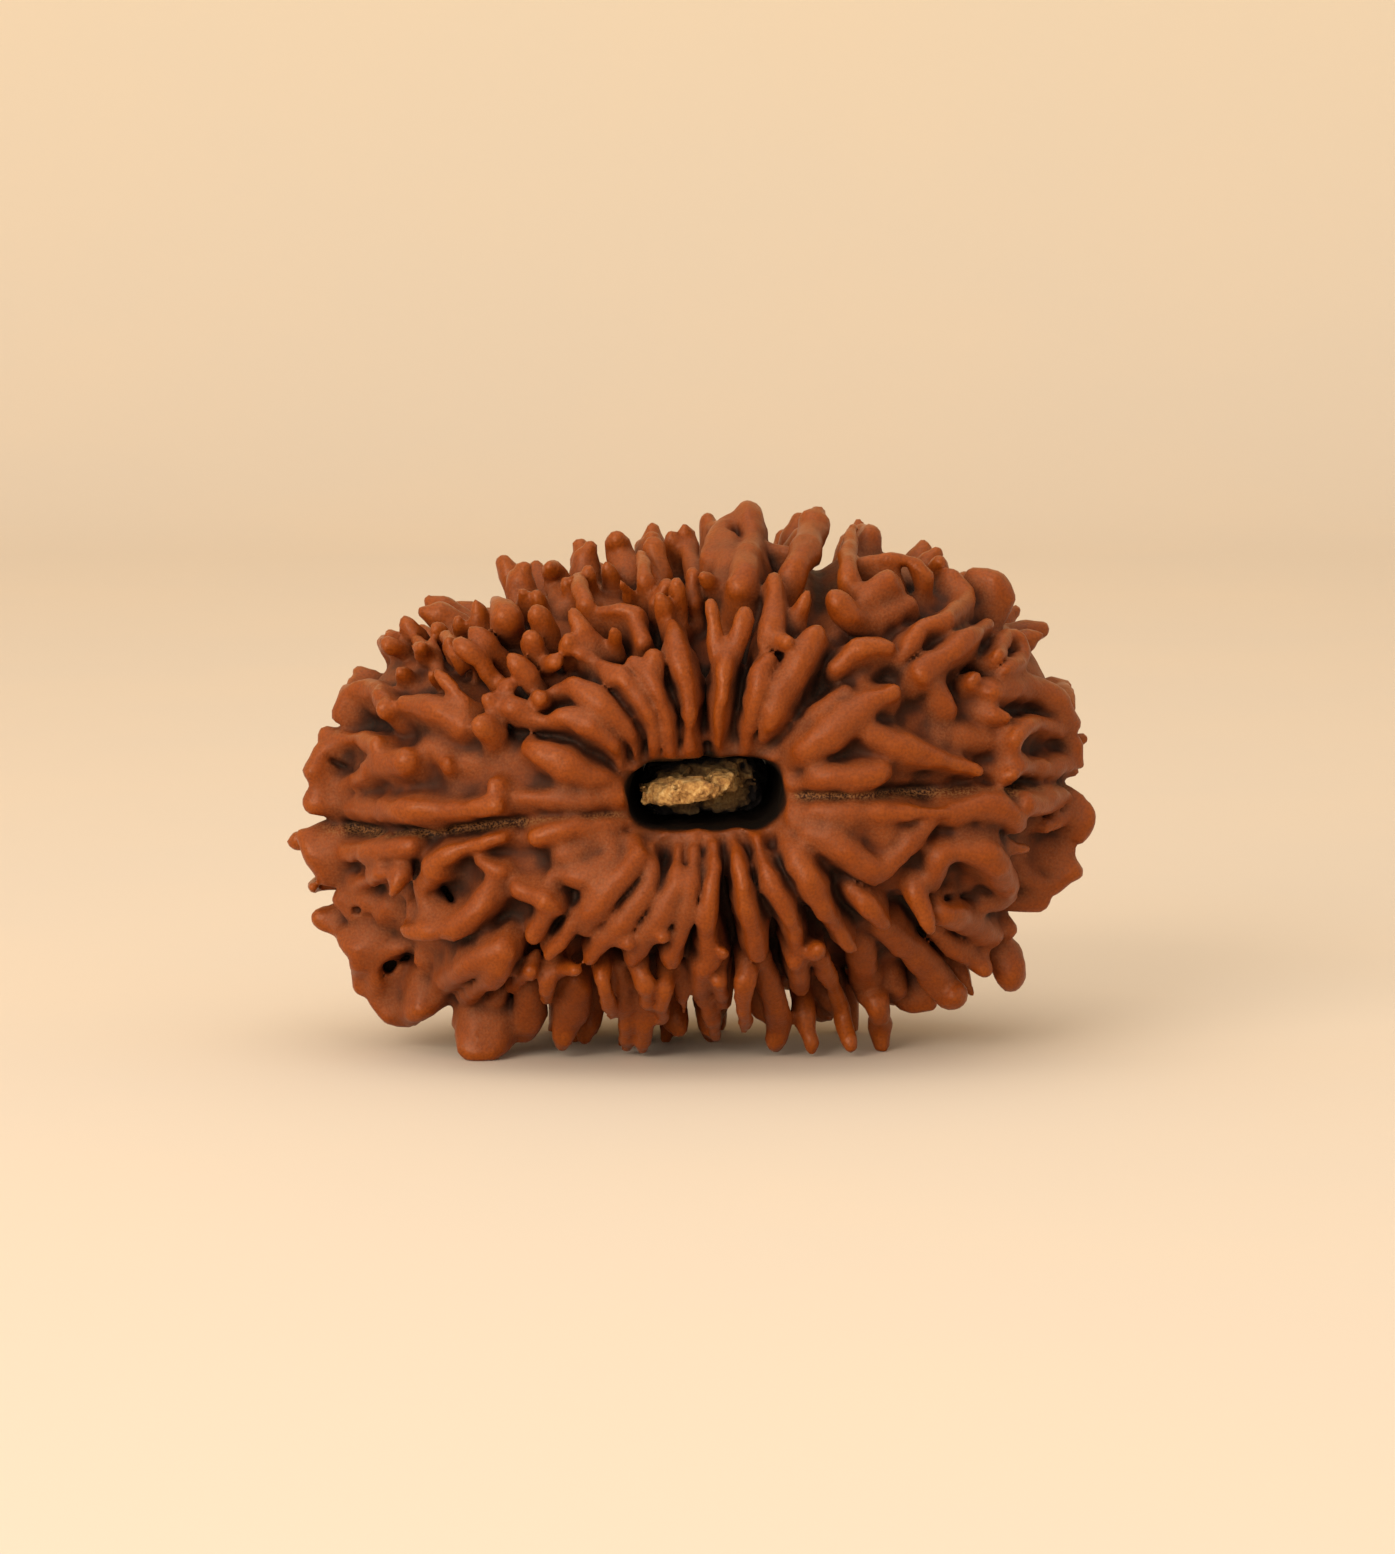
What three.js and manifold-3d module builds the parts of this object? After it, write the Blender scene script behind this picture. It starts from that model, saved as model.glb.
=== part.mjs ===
// A twenty-mukhi rudraksha: the dried stone of the rudraksha fruit, standing on its long edge.
// Twenty clefts run from the hole at one end to the hole at the other, and each of the twenty
// lobes between them carries a gill at the hole and knobs, thorns and bridges further out.
// Millimetres, +Z up, the hole along Y with its wide mouth towards -Y, resting on the plane Z = 0.
import * as THREE from "three";
import { mergeVertices } from "three/addons/utils/BufferGeometryUtils.js";
import Module from "manifold-3d";

const degree = Math.PI / 180;

// The smooth stone under the lobes: an ellipsoid with a slightly square, tilted oval outline.
const stone = {
  halfWidth: 15.9,
  halfThickness: 9.9,
  halfLength: 9.6,
  squareness: 2.4,
  tilt: 7 * degree,
  x: 0.1,
  z: 12.55,
};

// The near side is laid out as it is seen along this sight, on the upright plane through its aim.
const sight = { distance: 320, elevation: 7 * degree, aimHeight: 12.75, nearest: 17, furthest: 6, step: 0.1 };

// How far the clefts and lobes stand over the stone, and how deep the ridges are rooted.
const relief = { cleft: -0.25, lobe: 1.0, lobePerWidth: 0.2, root: 0.8 };

// The channel through the stone, from its wide mouth to the small one at the far side.
const channel = {
  x: 0.35,
  z: 13.05,
  mouth: { y: -9.6, halfWidth: 3.65, halfHeight: 1.65, corner: 1.45, tilt: 2 * degree, raise: 0 },
  far: { y: 9.6, halfWidth: 2.5, halfHeight: 1.3, corner: 1.1, tilt: 0, raise: -0.4 },
  overrun: 4,
  cornerSteps: 3,
};

// The crumb of dried pith that is left in the channel, by its reach to each side of the middle.
const pith = {
  gap: 0.35,
  shred: 0.2,
  slant: 0.12,
  sides: 10,
  stops: [
    { y: -8.2, left: -2.9, right: 1.9, low: -0.6, high: 0.75 },
    { y: -6.6, left: -2.85, right: 2.1, low: -0.8, high: 0.9 },
    { y: -3.8, left: -2.7, right: 1.9, low: -0.8, high: 0.9 },
    { y: -0.8, left: -3, right: 3, low: -1.5, high: 1.5 },
    { y: 3.2, left: -3, right: 3, low: -1.5, high: 1.5 },
  ],
};

// The box of the finished bead is centred on the origin by this shift.
const centring = { x: 0.5, y: -0.07 };

const blades = { foot: 1.1, endReach: 0.7, endWidth: 0.55, endDrop: 0.3 };
const fingers = { sides: 4, flare: 1.15, point: 0.9 };

// Points are [across, up, height over the stone, half width], read on the sight plane.
const blade = (...points) => ({ kind: "blade", points });
const finger = (...points) => ({ kind: "finger", points });

// The twenty clefts of the near side, [across, up] from the hole to the edge, clockwise from the left.
const clefts = [
  [[-3.4, -1.8], [-6.5, -1.9], [-8.8, -2.1], [-13.2, -2.6], [-18.3, -2.3]],
  [[-3.6, 0], [-4.6, 1.2], [-6.8, 1.8], [-8.5, 2.5], [-12.6, 2], [-16.6, 2.6]],
  [[-2.9, 1.2], [-3.7, 2.5], [-4.6, 3.4], [-5.7, 3.9], [-7, 3.3], [-9.1, 4.1], [-12.1, 5.8], [-14.4, 6.9]],
  [[-2.5, 1.2], [-2.7, 3.1], [-3.6, 4.2], [-4.6, 5], [-6.2, 5.1], [-8.4, 6.5], [-10.8, 8.4]],
  [[-1.7, 1.2], [-1.9, 3.4], [-2.5, 4.5], [-3.7, 5.8], [-4.6, 6.7], [-6.5, 8.3], [-7.7, 9.8]],
  [[-0.8, 1], [-1, 3.4], [-1.4, 5], [-2.1, 6.1], [-2.6, 7.7], [-3.3, 9.4], [-4.6, 10.9]],
  [[0.1, 1], [0.3, 3.8], [0.1, 6.7], [-0.4, 8.1], [-0.8, 9.4], [-1.4, 11.7]],
  [[1.6, 1.2], [2, 3.8], [2.6, 6.2], [2.9, 8.3], [3.3, 10.2], [3.4, 11.7]],
  [[2.9, 1], [3.4, 3.4], [4.2, 5.2], [5.8, 7.9], [6.3, 10.3], [6.6, 12.1]],
  [[3.8, 0.3], [5.4, 1.9], [7.7, 4.1], [9.9, 5], [12.4, 6.5], [14.7, 7.8]],
  [[4.1, -0.9], [8.1, -0.8], [14.3, -0.6], [18.5, -0.5]],
  [[3.9, -2.1], [5.3, -3.9], [7.2, -5.3], [9.8, -5.7], [11.2, -7.3], [13.1, -9.8]],
  [[3.2, -2.6], [4.4, -4.2], [5.4, -6], [6.5, -7.7], [7.2, -9.3], [8.2, -11.7]],
  [[2.2, -2.9], [2.8, -4.4], [3.4, -6], [3.9, -7.7], [4.2, -9.8], [4.5, -11.9]],
  [[1.2, -3], [1.5, -4.4], [1.6, -5.8], [1.7, -7.7], [1.8, -9.8], [1.7, -11.9]],
  [[0.3, -3.1], [0.3, -4.9], [0.1, -6.3], [-0.2, -8.2], [-0.4, -10.5], [-0.5, -11.9]],
  [[-0.6, -3.1], [-0.5, -4.9], [-0.8, -6.3], [-1.5, -8.4], [-2, -9.8], [-2.3, -11.9]],
  [[-1.5, -3.1], [-1.6, -4.9], [-2, -6], [-2.9, -7.5], [-3.6, -8.6], [-4, -10.5], [-4.5, -12.4]],
  [[-2.6, -3], [-2.6, -4.9], [-3.1, -5.9], [-4, -7], [-5.1, -8.1], [-6.1, -9.6], [-7.2, -12.2]],
  [[-3.3, -2.6], [-3.5, -4], [-4.5, -5], [-5.9, -6], [-7.4, -8.4], [-9.3, -9.8], [-12.1, -11.2]],
];

// What stands on each lobe of the near side.
const lobes = {
  leftUpper: [
    blade([-3.8, -0.2, 0.3, 0.45], [-5.3, 0.2, 1.4, 0.8], [-6.9, 0.9, 1.9, 0.9], [-7.9, 1.4, 1.7, 0.7]),
    blade([-3.8, -1, 0.3, 0.35], [-5.5, -1.1, 1.1, 0.6], [-7.2, -1.1, 1.4, 0.6], [-8.4, -1, 1.5, 0.5]),
    finger([-8.8, -0.6, 0.6, 0.5], [-9.6, -0.3, 1.9, 0.42]),
    blade([-15.2, 0.6, 1.8, 0.7], [-14, 0.7, 2.2, 0.8], [-13.3, 0.6, 1.6, 0.6]),
    finger([-11.6, 0.3, 0.6, 0.6], [-11.9, 0.7, 1.9, 0.5]),
    blade([-18.1, -1.2, 2.5, 0.8], [-16.4, -1.5, 1, 0.65], [-14.1, -1.6, 2.3, 0.75],
        [-12.1, -1.7, 2, 0.6], [-9.6, -1.4, 2.2, 0.65]),
    blade([-18.2, 0.3, 2.6, 0.6], [-17.6, 1.3, 2.1, 0.5], [-16.4, 1.8, 1.4, 0.5],
        [-15.2, 1.5, 2.1, 0.5]),
    blade([-17.9, -0.4, 2.3, 0.55], [-16.6, -0.3, 1.1, 0.55], [-15.8, 0.2, 2, 0.5]),
    blade([-16.7, 3.1, 1.7, 0.7], [-16.3, 4, 1.8, 0.6], [-15.2, 4.1, 1.4, 0.55],
        [-14.7, 3.3, 2.3, 0.6]),
    blade([-10.7, 0.8, 1, 0.9], [-12.6, 1.5, 1.3, 0.9]),
  ],
  gillOne: [
    blade([-3.6, 0.4, 0.3, 0.32], [-4, 1.5, 1.4, 0.5], [-5, 2.4, 1.9, 0.65], [-6.1, 2.9, 2, 0.62],
        [-7.1, 2.6, 1.6, 0.45], [-8.1, 3, 1.8, 0.5], [-8.8, 3.4, 2.2, 0.6]),
    finger([-8.8, 3.2, 1, 0.5], [-9.9, 3.7, 2.4, 0.38]),
    finger([-7.1, 3.3, 0.6, 0.45], [-7.5, 3.8, 2.2, 0.42]),
    finger([-9.3, 1.3, 0.5, 0.7], [-9.8, 2, 1.8, 0.62], [-10.3, 2.5, 2.6, 0.5]),
    blade([-13.8, 3.5, 2.1, 0.7], [-12.4, 3.3, 2.4, 0.95], [-11.2, 2.5, 2, 0.85]),
    finger([-10.2, 2.8, 0.6, 0.55], [-11.1, 3.6, 1.9, 0.5], [-12.3, 4.9, 2.7, 0.38]),
  ],
  gillTwo: [
    blade([-2.9, 0.9, 0.3, 0.33], [-3.2, 2.1, 1.4, 0.45], [-4.1, 3.1, 2, 0.65], [-5, 3.8, 2.2, 0.72],
        [-5.9, 4.3, 2, 0.6], [-6.7, 4.1, 1.6, 0.42]),
    finger([-7.4, 3.9, 0.6, 0.6], [-8, 4.7, 1.8, 0.55], [-8.8, 5.7, 2.7, 0.36]),
    finger([-9.2, 4, 0.6, 0.6], [-10.2, 5.2, 1.8, 0.5], [-11.2, 6.4, 2.9, 0.38]),
    finger([-9.5, 4.5, 0.8, 0.45], [-8.9, 4.3, 2.1, 0.4]),
    finger([-10.8, 4.9, 0.6, 0.5], [-11.4, 5.8, 2, 0.45], [-11.9, 6.7, 1.7, 0.36]),
    finger([-12.3, 5, 0.8, 0.45], [-12.5, 6.4, 1.3, 0.3]),
    finger([-13.2, 5.6, 0.4, 0.55], [-14.6, 6.3, 2.1, 0.4]),
    finger([-13, 6, 0.4, 0.65], [-13.4, 6.8, 1.4, 0.55], [-13.8, 7.4, 2.1, 0.46]),
    finger([-12.8, 5.7, 1, 0.45], [-13.4, 6.7, 1.4, 0.33]),
  ],
  gillThree: [
    blade([-2.1, 1.1, 0.3, 0.33], [-2.1, 2.5, 1.5, 0.45], [-2.7, 3.7, 2.1, 0.62], [-3.4, 4.7, 2.3, 0.7],
        [-4.2, 5.1, 2.1, 0.6], [-4.8, 5.5, 1.8, 0.48], [-5.4, 5.9, 1.9, 0.45]),
    finger([-6, 5.4, 0.6, 0.5], [-6.2, 6.6, 2.5, 0.4]),
    finger([-7.3, 5.1, 0.6, 0.55], [-7.9, 6.6, 2.6, 0.4]),
    finger([-7.2, 5.1, 0.8, 0.4], [-6.8, 5.5, 2, 0.4]),
    finger([-7, 6.1, 0.6, 0.55], [-7.3, 7.3, 1.9, 0.48], [-7.6, 8, 2.8, 0.32]),
    finger([-9.2, 5.4, 0.5, 0.65], [-10, 6.3, 1.9, 0.6], [-10.6, 7, 2.6, 0.42]),
    finger([-10.2, 6.8, 0.4, 0.7], [-10.5, 8.2, 1.9, 0.48]),
    finger([-8.9, 6.6, 0.4, 0.8], [-9.2, 7.7, 2.3, 0.68], [-9.5, 8.3, 1.9, 0.48]),
    finger([-11.1, 6.7, 0.6, 0.5], [-11.3, 7.5, 1.6, 0.42]),
    finger([-11.9, 6.4, 0.6, 0.5], [-12.3, 7, 1.5, 0.38]),
    finger([-8, 7.7, 0.5, 0.55], [-8.3, 8.7, 1.9, 0.38]),
    finger([-7.4, 7.7, 0.6, 0.45], [-7.6, 8.6, 1.7, 0.33]),
  ],
  gillFour: [
    blade([-1.3, 1.1, 0.3, 0.32], [-1.4, 2.5, 1.5, 0.42], [-1.8, 3.7, 2.1, 0.55],
        [-2.4, 4.8, 2.3, 0.65], [-3, 5.5, 2.2, 0.48]),
    blade([-2, 4.4, 1.8, 0.5], [-2.1, 5.7, 2.3, 0.48]),
    finger([-4.4, 5.4, 0.6, 0.65], [-5.2, 6.6, 1.9, 0.62], [-5.9, 7.9, 2.8, 0.3]),
    finger([-3.8, 5.7, 0.6, 0.5], [-4, 7.1, 2.7, 0.25]),
    finger([-4.7, 6.8, 0.5, 0.55], [-5.3, 8.3, 2, 0.5], [-5.7, 9.5, 1.8, 0.36]),
    finger([-6.3, 8, 0.4, 0.65], [-6.7, 9.3, 1.1, 0.58], [-7, 10, 2.3, 0.46]),
    finger([-6, 8.3, 0.6, 0.5], [-6.2, 9.3, 1.7, 0.33]),
    finger([-5, 8.7, 0.6, 0.5], [-5.2, 9.8, 1.9, 0.38]),
    blade([-4.5, 7.9, 1.8, 0.5], [-3.7, 8, 2, 0.55], [-2.9, 7.8, 1.8, 0.5]),
    finger([-2.9, 8.1, 0.6, 0.45], [-3.6, 9.2, 2.6, 0.26]),
    blade([-3, 7.4, 1.5, 0.5], [-2.6, 6.5, 1.5, 0.6]),
    finger([-3.3, 9.4, 0.4, 0.7], [-3.7, 10.6, 1.4, 0.62], [-3.8, 11.3, 2.2, 0.46]),
    finger([-4, 9.2, 0.6, 0.55], [-4.3, 10.1, 1.7, 0.42]),
  ],
  gillFive: [
    blade([-0.4, 1.4, 0.3, 0.33], [-0.4, 3.3, 1.6, 0.45], [-0.7, 5, 2.2, 0.6], [-1, 6.5, 2.3, 0.65],
        [-1.2, 7.3, 2, 0.5]),
    finger([-1.3, 7, 1, 0.5], [-1.8, 8.5, 2.8, 0.33]),
    finger([-0.8, 7.3, 0.8, 0.45], [-1, 9.2, 2.9, 0.3]),
    finger([-2.2, 8.1, 0.6, 0.5], [-2.5, 9.5, 2.2, 0.42], [-2.7, 10.6, 1.9, 0.3]),
    finger([-1.7, 9.4, 0.5, 0.55], [-2.1, 11.1, 2, 0.42]),
    finger([-0.9, 10, 0.4, 0.6], [-1.2, 11.4, 1.9, 0.42]),
    blade([-2, 8.3, 1.5, 0.5], [-1.5, 9.1, 2, 0.45]),
  ],
  gillSix: [
    blade([0.9, 1.5, 0.3, 0.33], [1, 3.1, 1.6, 0.45], [1.2, 4.6, 2.2, 0.6], [1.3, 5.8, 2.1, 0.62]),
    finger([1.1, 5.3, 1.6, 0.48], [0.8, 6.9, 2.4, 0.42], [0.6, 8.2, 3, 0.34]),
    finger([1.4, 5.4, 1.6, 0.5], [1.9, 6.7, 2.4, 0.46], [2.2, 7.8, 2.9, 0.4]),
    finger([0, 9.4, 0.4, 0.6], [-0.4, 10.8, 1.2, 0.48], [-0.6, 11.8, 2.2, 0.28]),
    blade([-0.2, 8.3, 1.4, 0.5], [-0.2, 9.7, 2.2, 0.55]),
    finger([0.9, 8.7, 1, 0.6], [0.3, 9.6, 2.8, 0.4]),
    blade([1.9, 8.4, 1.8, 0.85], [2.1, 9.5, 2.6, 0.85], [2.6, 11.1, 2, 0.75], [2.4, 12.4, 2.6, 0.8]),
    blade([0.6, 10.2, 1.6, 0.75], [1.1, 11.4, 1.9, 0.85], [2, 12.1, 2.3, 0.8]),
  ],
  gillSeven: [
    blade([2.3, 1.7, 0.3, 0.33], [2.6, 3.3, 1.6, 0.52], [2.9, 4.8, 2.2, 0.68], [3.4, 5.7, 2.4, 0.55]),
    blade([2.9, 5.4, 1.8, 0.45], [3.5, 6.9, 2.4, 0.72], [3.7, 8.3, 2.6, 0.65], [3.7, 9.3, 2.8, 0.55]),
    finger([3.6, 6.4, 1.6, 0.5], [4.2, 6.4, 2.9, 0.42]),
    finger([4.5, 6.7, 1.2, 0.55], [4.8, 7.9, 2.3, 0.45], [5.2, 8.7, 3, 0.33]),
    finger([4, 8.3, 1, 0.75], [4.7, 10, 2.4, 0.75], [5.4, 11.3, 1.9, 0.75], [5.7, 12.4, 2.6, 0.68]),
    blade([3.2, 10.9, 1.5, 0.55], [4.2, 10.6, 1.4, 0.6]),
  ],
  gillEight: [
    blade([3.2, 2, 0.6, 0.42], [3.7, 3.1, 1.6, 0.75], [4.6, 5.3, 2.3, 1], [5.5, 6.7, 2.7, 0.72]),
    blade([6.6, 5.2, 1.9, 0.6], [7.4, 6, 2.4, 0.7], [8.4, 6.3, 2.6, 0.65], [9.1, 6.2, 2.7, 0.5]),
    blade([4.3, 1.4, 0.6, 0.4], [5.5, 2.9, 1.5, 0.65], [7, 4.1, 1.8, 0.5]),
    finger([8.2, 6.9, 0.6, 0.75], [7.3, 7.8, 2, 0.7], [6.5, 8.6, 2.9, 0.46]),
    finger([7.4, 8.1, 0.8, 0.6], [7.1, 9.8, 2.4, 0.52], [7.2, 10.9, 1.8, 0.46], [7.3, 11.7, 2.1, 0.36]),
    blade([7.7, 10.1, 1.8, 0.5], [8.8, 10.4, 2.3, 0.5], [10.1, 10.1, 2.3, 0.55], [10.8, 9.5, 2, 0.5]),
    blade([8, 8.7, 2.2, 0.8], [9.2, 9.4, 2.7, 0.8]),
    finger([11.2, 9, 0.5, 0.55], [11.4, 10.2, 2.1, 0.42]),
    blade([12, 9.4, 1.8, 0.7], [12.7, 8.4, 1.7, 0.75], [11.7, 7.5, 2.8, 0.6], [10.7, 7.2, 2.8, 0.62],
        [10, 6.2, 2.6, 0.62], [9.7, 5.7, 2.2, 0.45]),
    blade([8.4, 7.5, 1.6, 0.8], [10, 8.2, 1.8, 0.8]),
    blade([13.1, 9.4, 1.9, 0.6], [14, 9.2, 2.3, 0.8], [14.5, 8.5, 2.1, 0.65]),
    blade([6.5, 3.6, 1, 0.9], [8.1, 5.1, 1.2, 0.9]),
  ],
  rightUpper: [
    blade([4.6, -0.5, 0.5, 0.5], [6, 0, 1.6, 0.75], [7.7, 0, 1.9, 0.8], [8.7, 0.2, 2.1, 0.72]),
    blade([4.7, 0.7, 0.6, 0.6], [5.4, 1.5, 1.6, 0.9], [6.5, 2.3, 2.2, 1.05], [7.8, 3.3, 2.4, 0.85],
        [9.3, 4.1, 2.7, 0.58]),
    blade([7.8, 2.5, 2, 0.75], [9.6, 1.5, 2.2, 0.85], [11.2, 0.9, 2.2, 0.72], [13.2, 0.3, 2.3, 0.42]),
    blade([13.8, 7.3, 2.1, 0.5], [12.9, 6.6, 3, 0.55], [11.7, 5.8, 2.8, 0.65], [10.6, 5.1, 2.7, 0.75]),
    blade([11.1, 4.6, 2, 0.8], [11.7, 3.3, 1.8, 0.8]),
    finger([12.3, 3.9, 0.8, 0.6], [13.2, 4.7, 2.5, 0.48]),
    blade([14.2, 5.7, 2.8, 0.55], [14.7, 6.7, 2, 0.55], [15.4, 6.5, 2.2, 0.5], [15.4, 5.7, 2, 0.55],
        [14.6, 5.1, 2.8, 0.45]),
    finger([13.1, 3.1, 1, 0.62], [14, 3, 2.2, 0.55], [14.9, 2.8, 2.7, 0.33]),
    blade([14, 4.1, 2.4, 0.8], [15.7, 4.3, 1.8, 0.85], [17, 3.7, 2.1, 0.8], [17.6, 2.6, 2.1, 0.72]),
    blade([14.9, 1.1, 2.4, 0.6], [15.3, 2.1, 2.8, 0.6], [16.2, 2.6, 1.9, 0.5], [17.1, 2.2, 1.8, 0.45]),
    blade([15.2, 0.6, 2.4, 0.6], [16.4, 0.4, 1.6, 0.62], [17.6, 0.7, 1.9, 0.55]),
    blade([17.4, 1.8, 1.8, 0.5], [17.9, 1.5, 2.2, 0.5], [18, 0.7, 2.2, 0.5]),
    finger([13.7, 0.1, 1, 0.5], [14.9, 0.1, 2.6, 0.3]),
    blade([11.4, 2, 1.2, 1], [13.6, 1.7, 1.5, 0.9]),
  ],
  rightLower: [
    blade([4.6, -1.4, 0.5, 0.6], [6.5, -1.8, 1.5, 0.75], [9.1, -1.7, 2, 0.6], [11.6, -1.7, 2.4, 0.35]),
    blade([4.7, -2, 0.6, 0.7], [6.5, -3.2, 1.8, 1.1], [8, -4.3, 2.2, 0.95], [8.4, -4.9, 2, 0.5]),
    blade([11.2, -2, 2, 0.5], [9.8, -3.4, 2, 0.72], [8.7, -4.5, 2, 0.6]),
    blade([7, -2.5, 1.2, 1.2], [9.1, -2.7, 1.5, 1.2]),
    blade([12.1, -1.7, 2.2, 0.75], [13.8, -1.5, 2.6, 0.8], [14.8, -1.7, 2.8, 0.7],
        [15.2, -2.3, 2.6, 0.55]),
    blade([12.8, -2.7, 2, 0.7], [13.9, -3, 2.2, 0.55]),
    blade([15.7, -1.3, 2.8, 0.6], [16.7, -1.1, 1.9, 0.7], [17.5, -1, 1.9, 0.6], [17.2, -1.9, 1.8, 0.6],
        [16.5, -2.4, 1.6, 0.5]),
    blade([18.1, -1, 2.3, 0.5], [18.5, -1.7, 2.8, 0.5], [18, -2.7, 2.5, 0.5]),
    finger([14, -3.2, 1.4, 0.5], [15.6, -3.4, 1.8, 0.33]),
    finger([16.2, -3.1, 1, 0.55], [17.6, -3.4, 2.3, 0.48]),
    blade([15.3, -4.7, 1.2, 0.7], [16.6, -5.1, 2.2, 0.8], [17.7, -4.4, 2.8, 0.7]),
    blade([14.7, -5.8, 1.2, 0.7], [16.2, -5.9, 2.3, 0.6]),
    blade([11.2, -5, 1.8, 0.9], [11.7, -3.9, 2.2, 0.8], [12.9, -3.6, 2.5, 0.8], [14.3, -4.3, 2.8, 0.9],
        [14.6, -5.6, 1.6, 0.8], [13.6, -5.9, 1.5, 0.8]),
    blade([11.7, -6.5, 2.3, 0.8], [12.9, -7, 1.7, 0.95], [13.8, -7.6, 1.9, 0.75]),
    finger([10.1, -4.4, 1, 0.62], [10.5, -5.8, 2.2, 0.55], [11, -7.2, 2.9, 0.36]),
    blade([11.4, -7.5, 1.1, 0.6], [12.9, -8.5, 2.1, 0.75], [13.6, -9.2, 3, 0.6]),
    finger([13.6, -7.6, 0.8, 0.8], [14.6, -8.7, 3, 0.88], [14.8, -9.6, 3.3, 0.78]),
  ],
  gillNine: [
    blade([4, -2.7, 0.3, 0.42], [4.7, -4, 1.6, 0.6], [5.4, -5, 2.2, 0.85], [5.9, -6.1, 2.2, 0.72],
        [6.6, -7.1, 1.8, 0.55], [7.3, -8.2, 1.9, 0.5]),
    finger([7.7, -7.9, 0.6, 0.75], [8, -9.6, 1, 0.8], [8.5, -11, 2.5, 0.62], [8.8, -12.9, 3.9, 0.42]),
    blade([7.4, -5.5, 1.9, 0.6], [8.1, -6.2, 2.3, 0.75], [8.8, -7, 2.2, 0.55]),
    finger([8.8, -7.1, 0.8, 0.75], [10.3, -8.4, 1.2, 0.72], [11.5, -9.7, 2.4, 0.8],
        [12.2, -10.5, 3.4, 0.78]),
    finger([12.3, -9.2, 1.2, 0.45], [13.1, -10.4, 3.4, 0.28]),
    blade([9.2, -9.3, 1.1, 0.8], [9.8, -10.7, 2.4, 0.6], [10.9, -10.7, 2.6, 0.45]),
  ],
  gillTen: [
    blade([2.8, -3, 0.3, 0.35], [3.2, -4.3, 1.6, 0.5], [3.8, -5.8, 2.2, 0.66], [4.5, -7, 2.2, 0.6],
        [4.7, -8.2, 2, 0.5]),
    finger([5.1, -8.3, 1, 0.55], [5.7, -8.3, 2.6, 0.42]),
    blade([4.7, -8.7, 2, 0.55], [4.9, -10, 1.2, 0.65]),
    finger([4.9, -9.8, 0.4, 0.65], [5.1, -11.2, 1.9, 0.52], [5.4, -13, 3.7, 0.36]),
    finger([5.8, -8.7, 1.2, 0.48], [6.6, -10.5, 1.6, 0.48], [7.2, -12.7, 3.8, 0.38]),
  ],
  gillEleven: [
    blade([1.7, -3.2, 0.3, 0.33], [2, -4.4, 1.6, 0.45], [2.2, -5.8, 2.2, 0.6], [2.6, -7.2, 2.2, 0.66],
        [2.8, -8.5, 2, 0.58]),
    finger([2.4, -8.5, 1, 0.55], [2.2, -10, 2.4, 0.48], [2.2, -11.9, 2.3, 0.36]),
    finger([3, -8.6, 1, 0.6], [3.4, -10, 1.4, 0.56], [3.8, -11.5, 2.1, 0.6], [3.7, -12.6, 3, 0.45]),
  ],
  gillTwelve: [
    blade([0.8, -3.3, 0.3, 0.33], [0.8, -4.8, 1.6, 0.42], [0.6, -6.3, 2.2, 0.5], [0.5, -7.8, 2.2, 0.55],
        [0.6, -8.9, 2.2, 0.7]),
    finger([0.7, -8.3, 1.2, 0.45], [1.3, -8.4, 2.7, 0.36]),
    blade([0.3, -9.2, 2.2, 0.68], [0.2, -10.5, 1.5, 0.7]),
    blade([1, -9.8, 2.4, 0.55], [1.3, -10.8, 1.6, 0.48]),
    finger([0.4, -10.3, 1.4, 0.6], [0.9, -12.3, 2.3, 0.4]),
  ],
  gillThirteen: [
    blade([-0.2, -3.5, 0.3, 0.3], [-0.2, -4.8, 1.5, 0.38], [-0.4, -5.9, 2, 0.42],
        [-0.7, -7.1, 2.1, 0.42], [-1, -8.2, 2.3, 0.56], [-1.2, -8.8, 2, 0.5]),
    finger([-1.4, -9.2, 1, 0.55], [-1.6, -10.5, 2.4, 0.44], [-1.7, -11.6, 1.8, 0.33]),
    finger([-0.9, -9.3, 1, 0.5], [-0.6, -11.1, 1.8, 0.36]),
  ],
  gillFourteen: [
    blade([-0.9, -3.5, 0.3, 0.33], [-1, -4.9, 1.5, 0.42], [-1.4, -6, 2.1, 0.56], [-2, -7.1, 2.3, 0.66],
        [-2.7, -8.1, 2.2, 0.6], [-3.1, -8.8, 2, 0.48]),
    finger([-2.1, -7.4, 1.4, 0.5], [-1.6, -7.7, 2.7, 0.4]),
    finger([-2.9, -8.7, 1.2, 0.55], [-2.5, -10, 2.4, 0.5], [-2.1, -11.1, 1.8, 0.36]),
    finger([-2.8, -9.8, 1, 0.6], [-2.5, -11.2, 1.7, 0.52], [-2.6, -12.9, 2.7, 0.4]),
  ],
  gillFifteen: [
    blade([-2.2, -3.3, 0.3, 0.33], [-2.2, -4.8, 1.5, 0.42], [-2.7, -5.9, 2.1, 0.5],
        [-3.4, -6.8, 2.3, 0.56], [-4.3, -7.7, 2.3, 0.62], [-5.1, -8.6, 2, 0.48]),
    finger([-3.9, -7.4, 1.4, 0.5], [-3.3, -8, 2.7, 0.38]),
    finger([-4.6, -8.7, 1, 0.5], [-4.4, -10, 2.4, 0.42], [-4, -11.3, 1.9, 0.3]),
    finger([-3.7, -9.2, 1, 0.55], [-3.4, -11, 1.7, 0.5], [-3.3, -12.7, 2.4, 0.36]),
  ],
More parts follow.
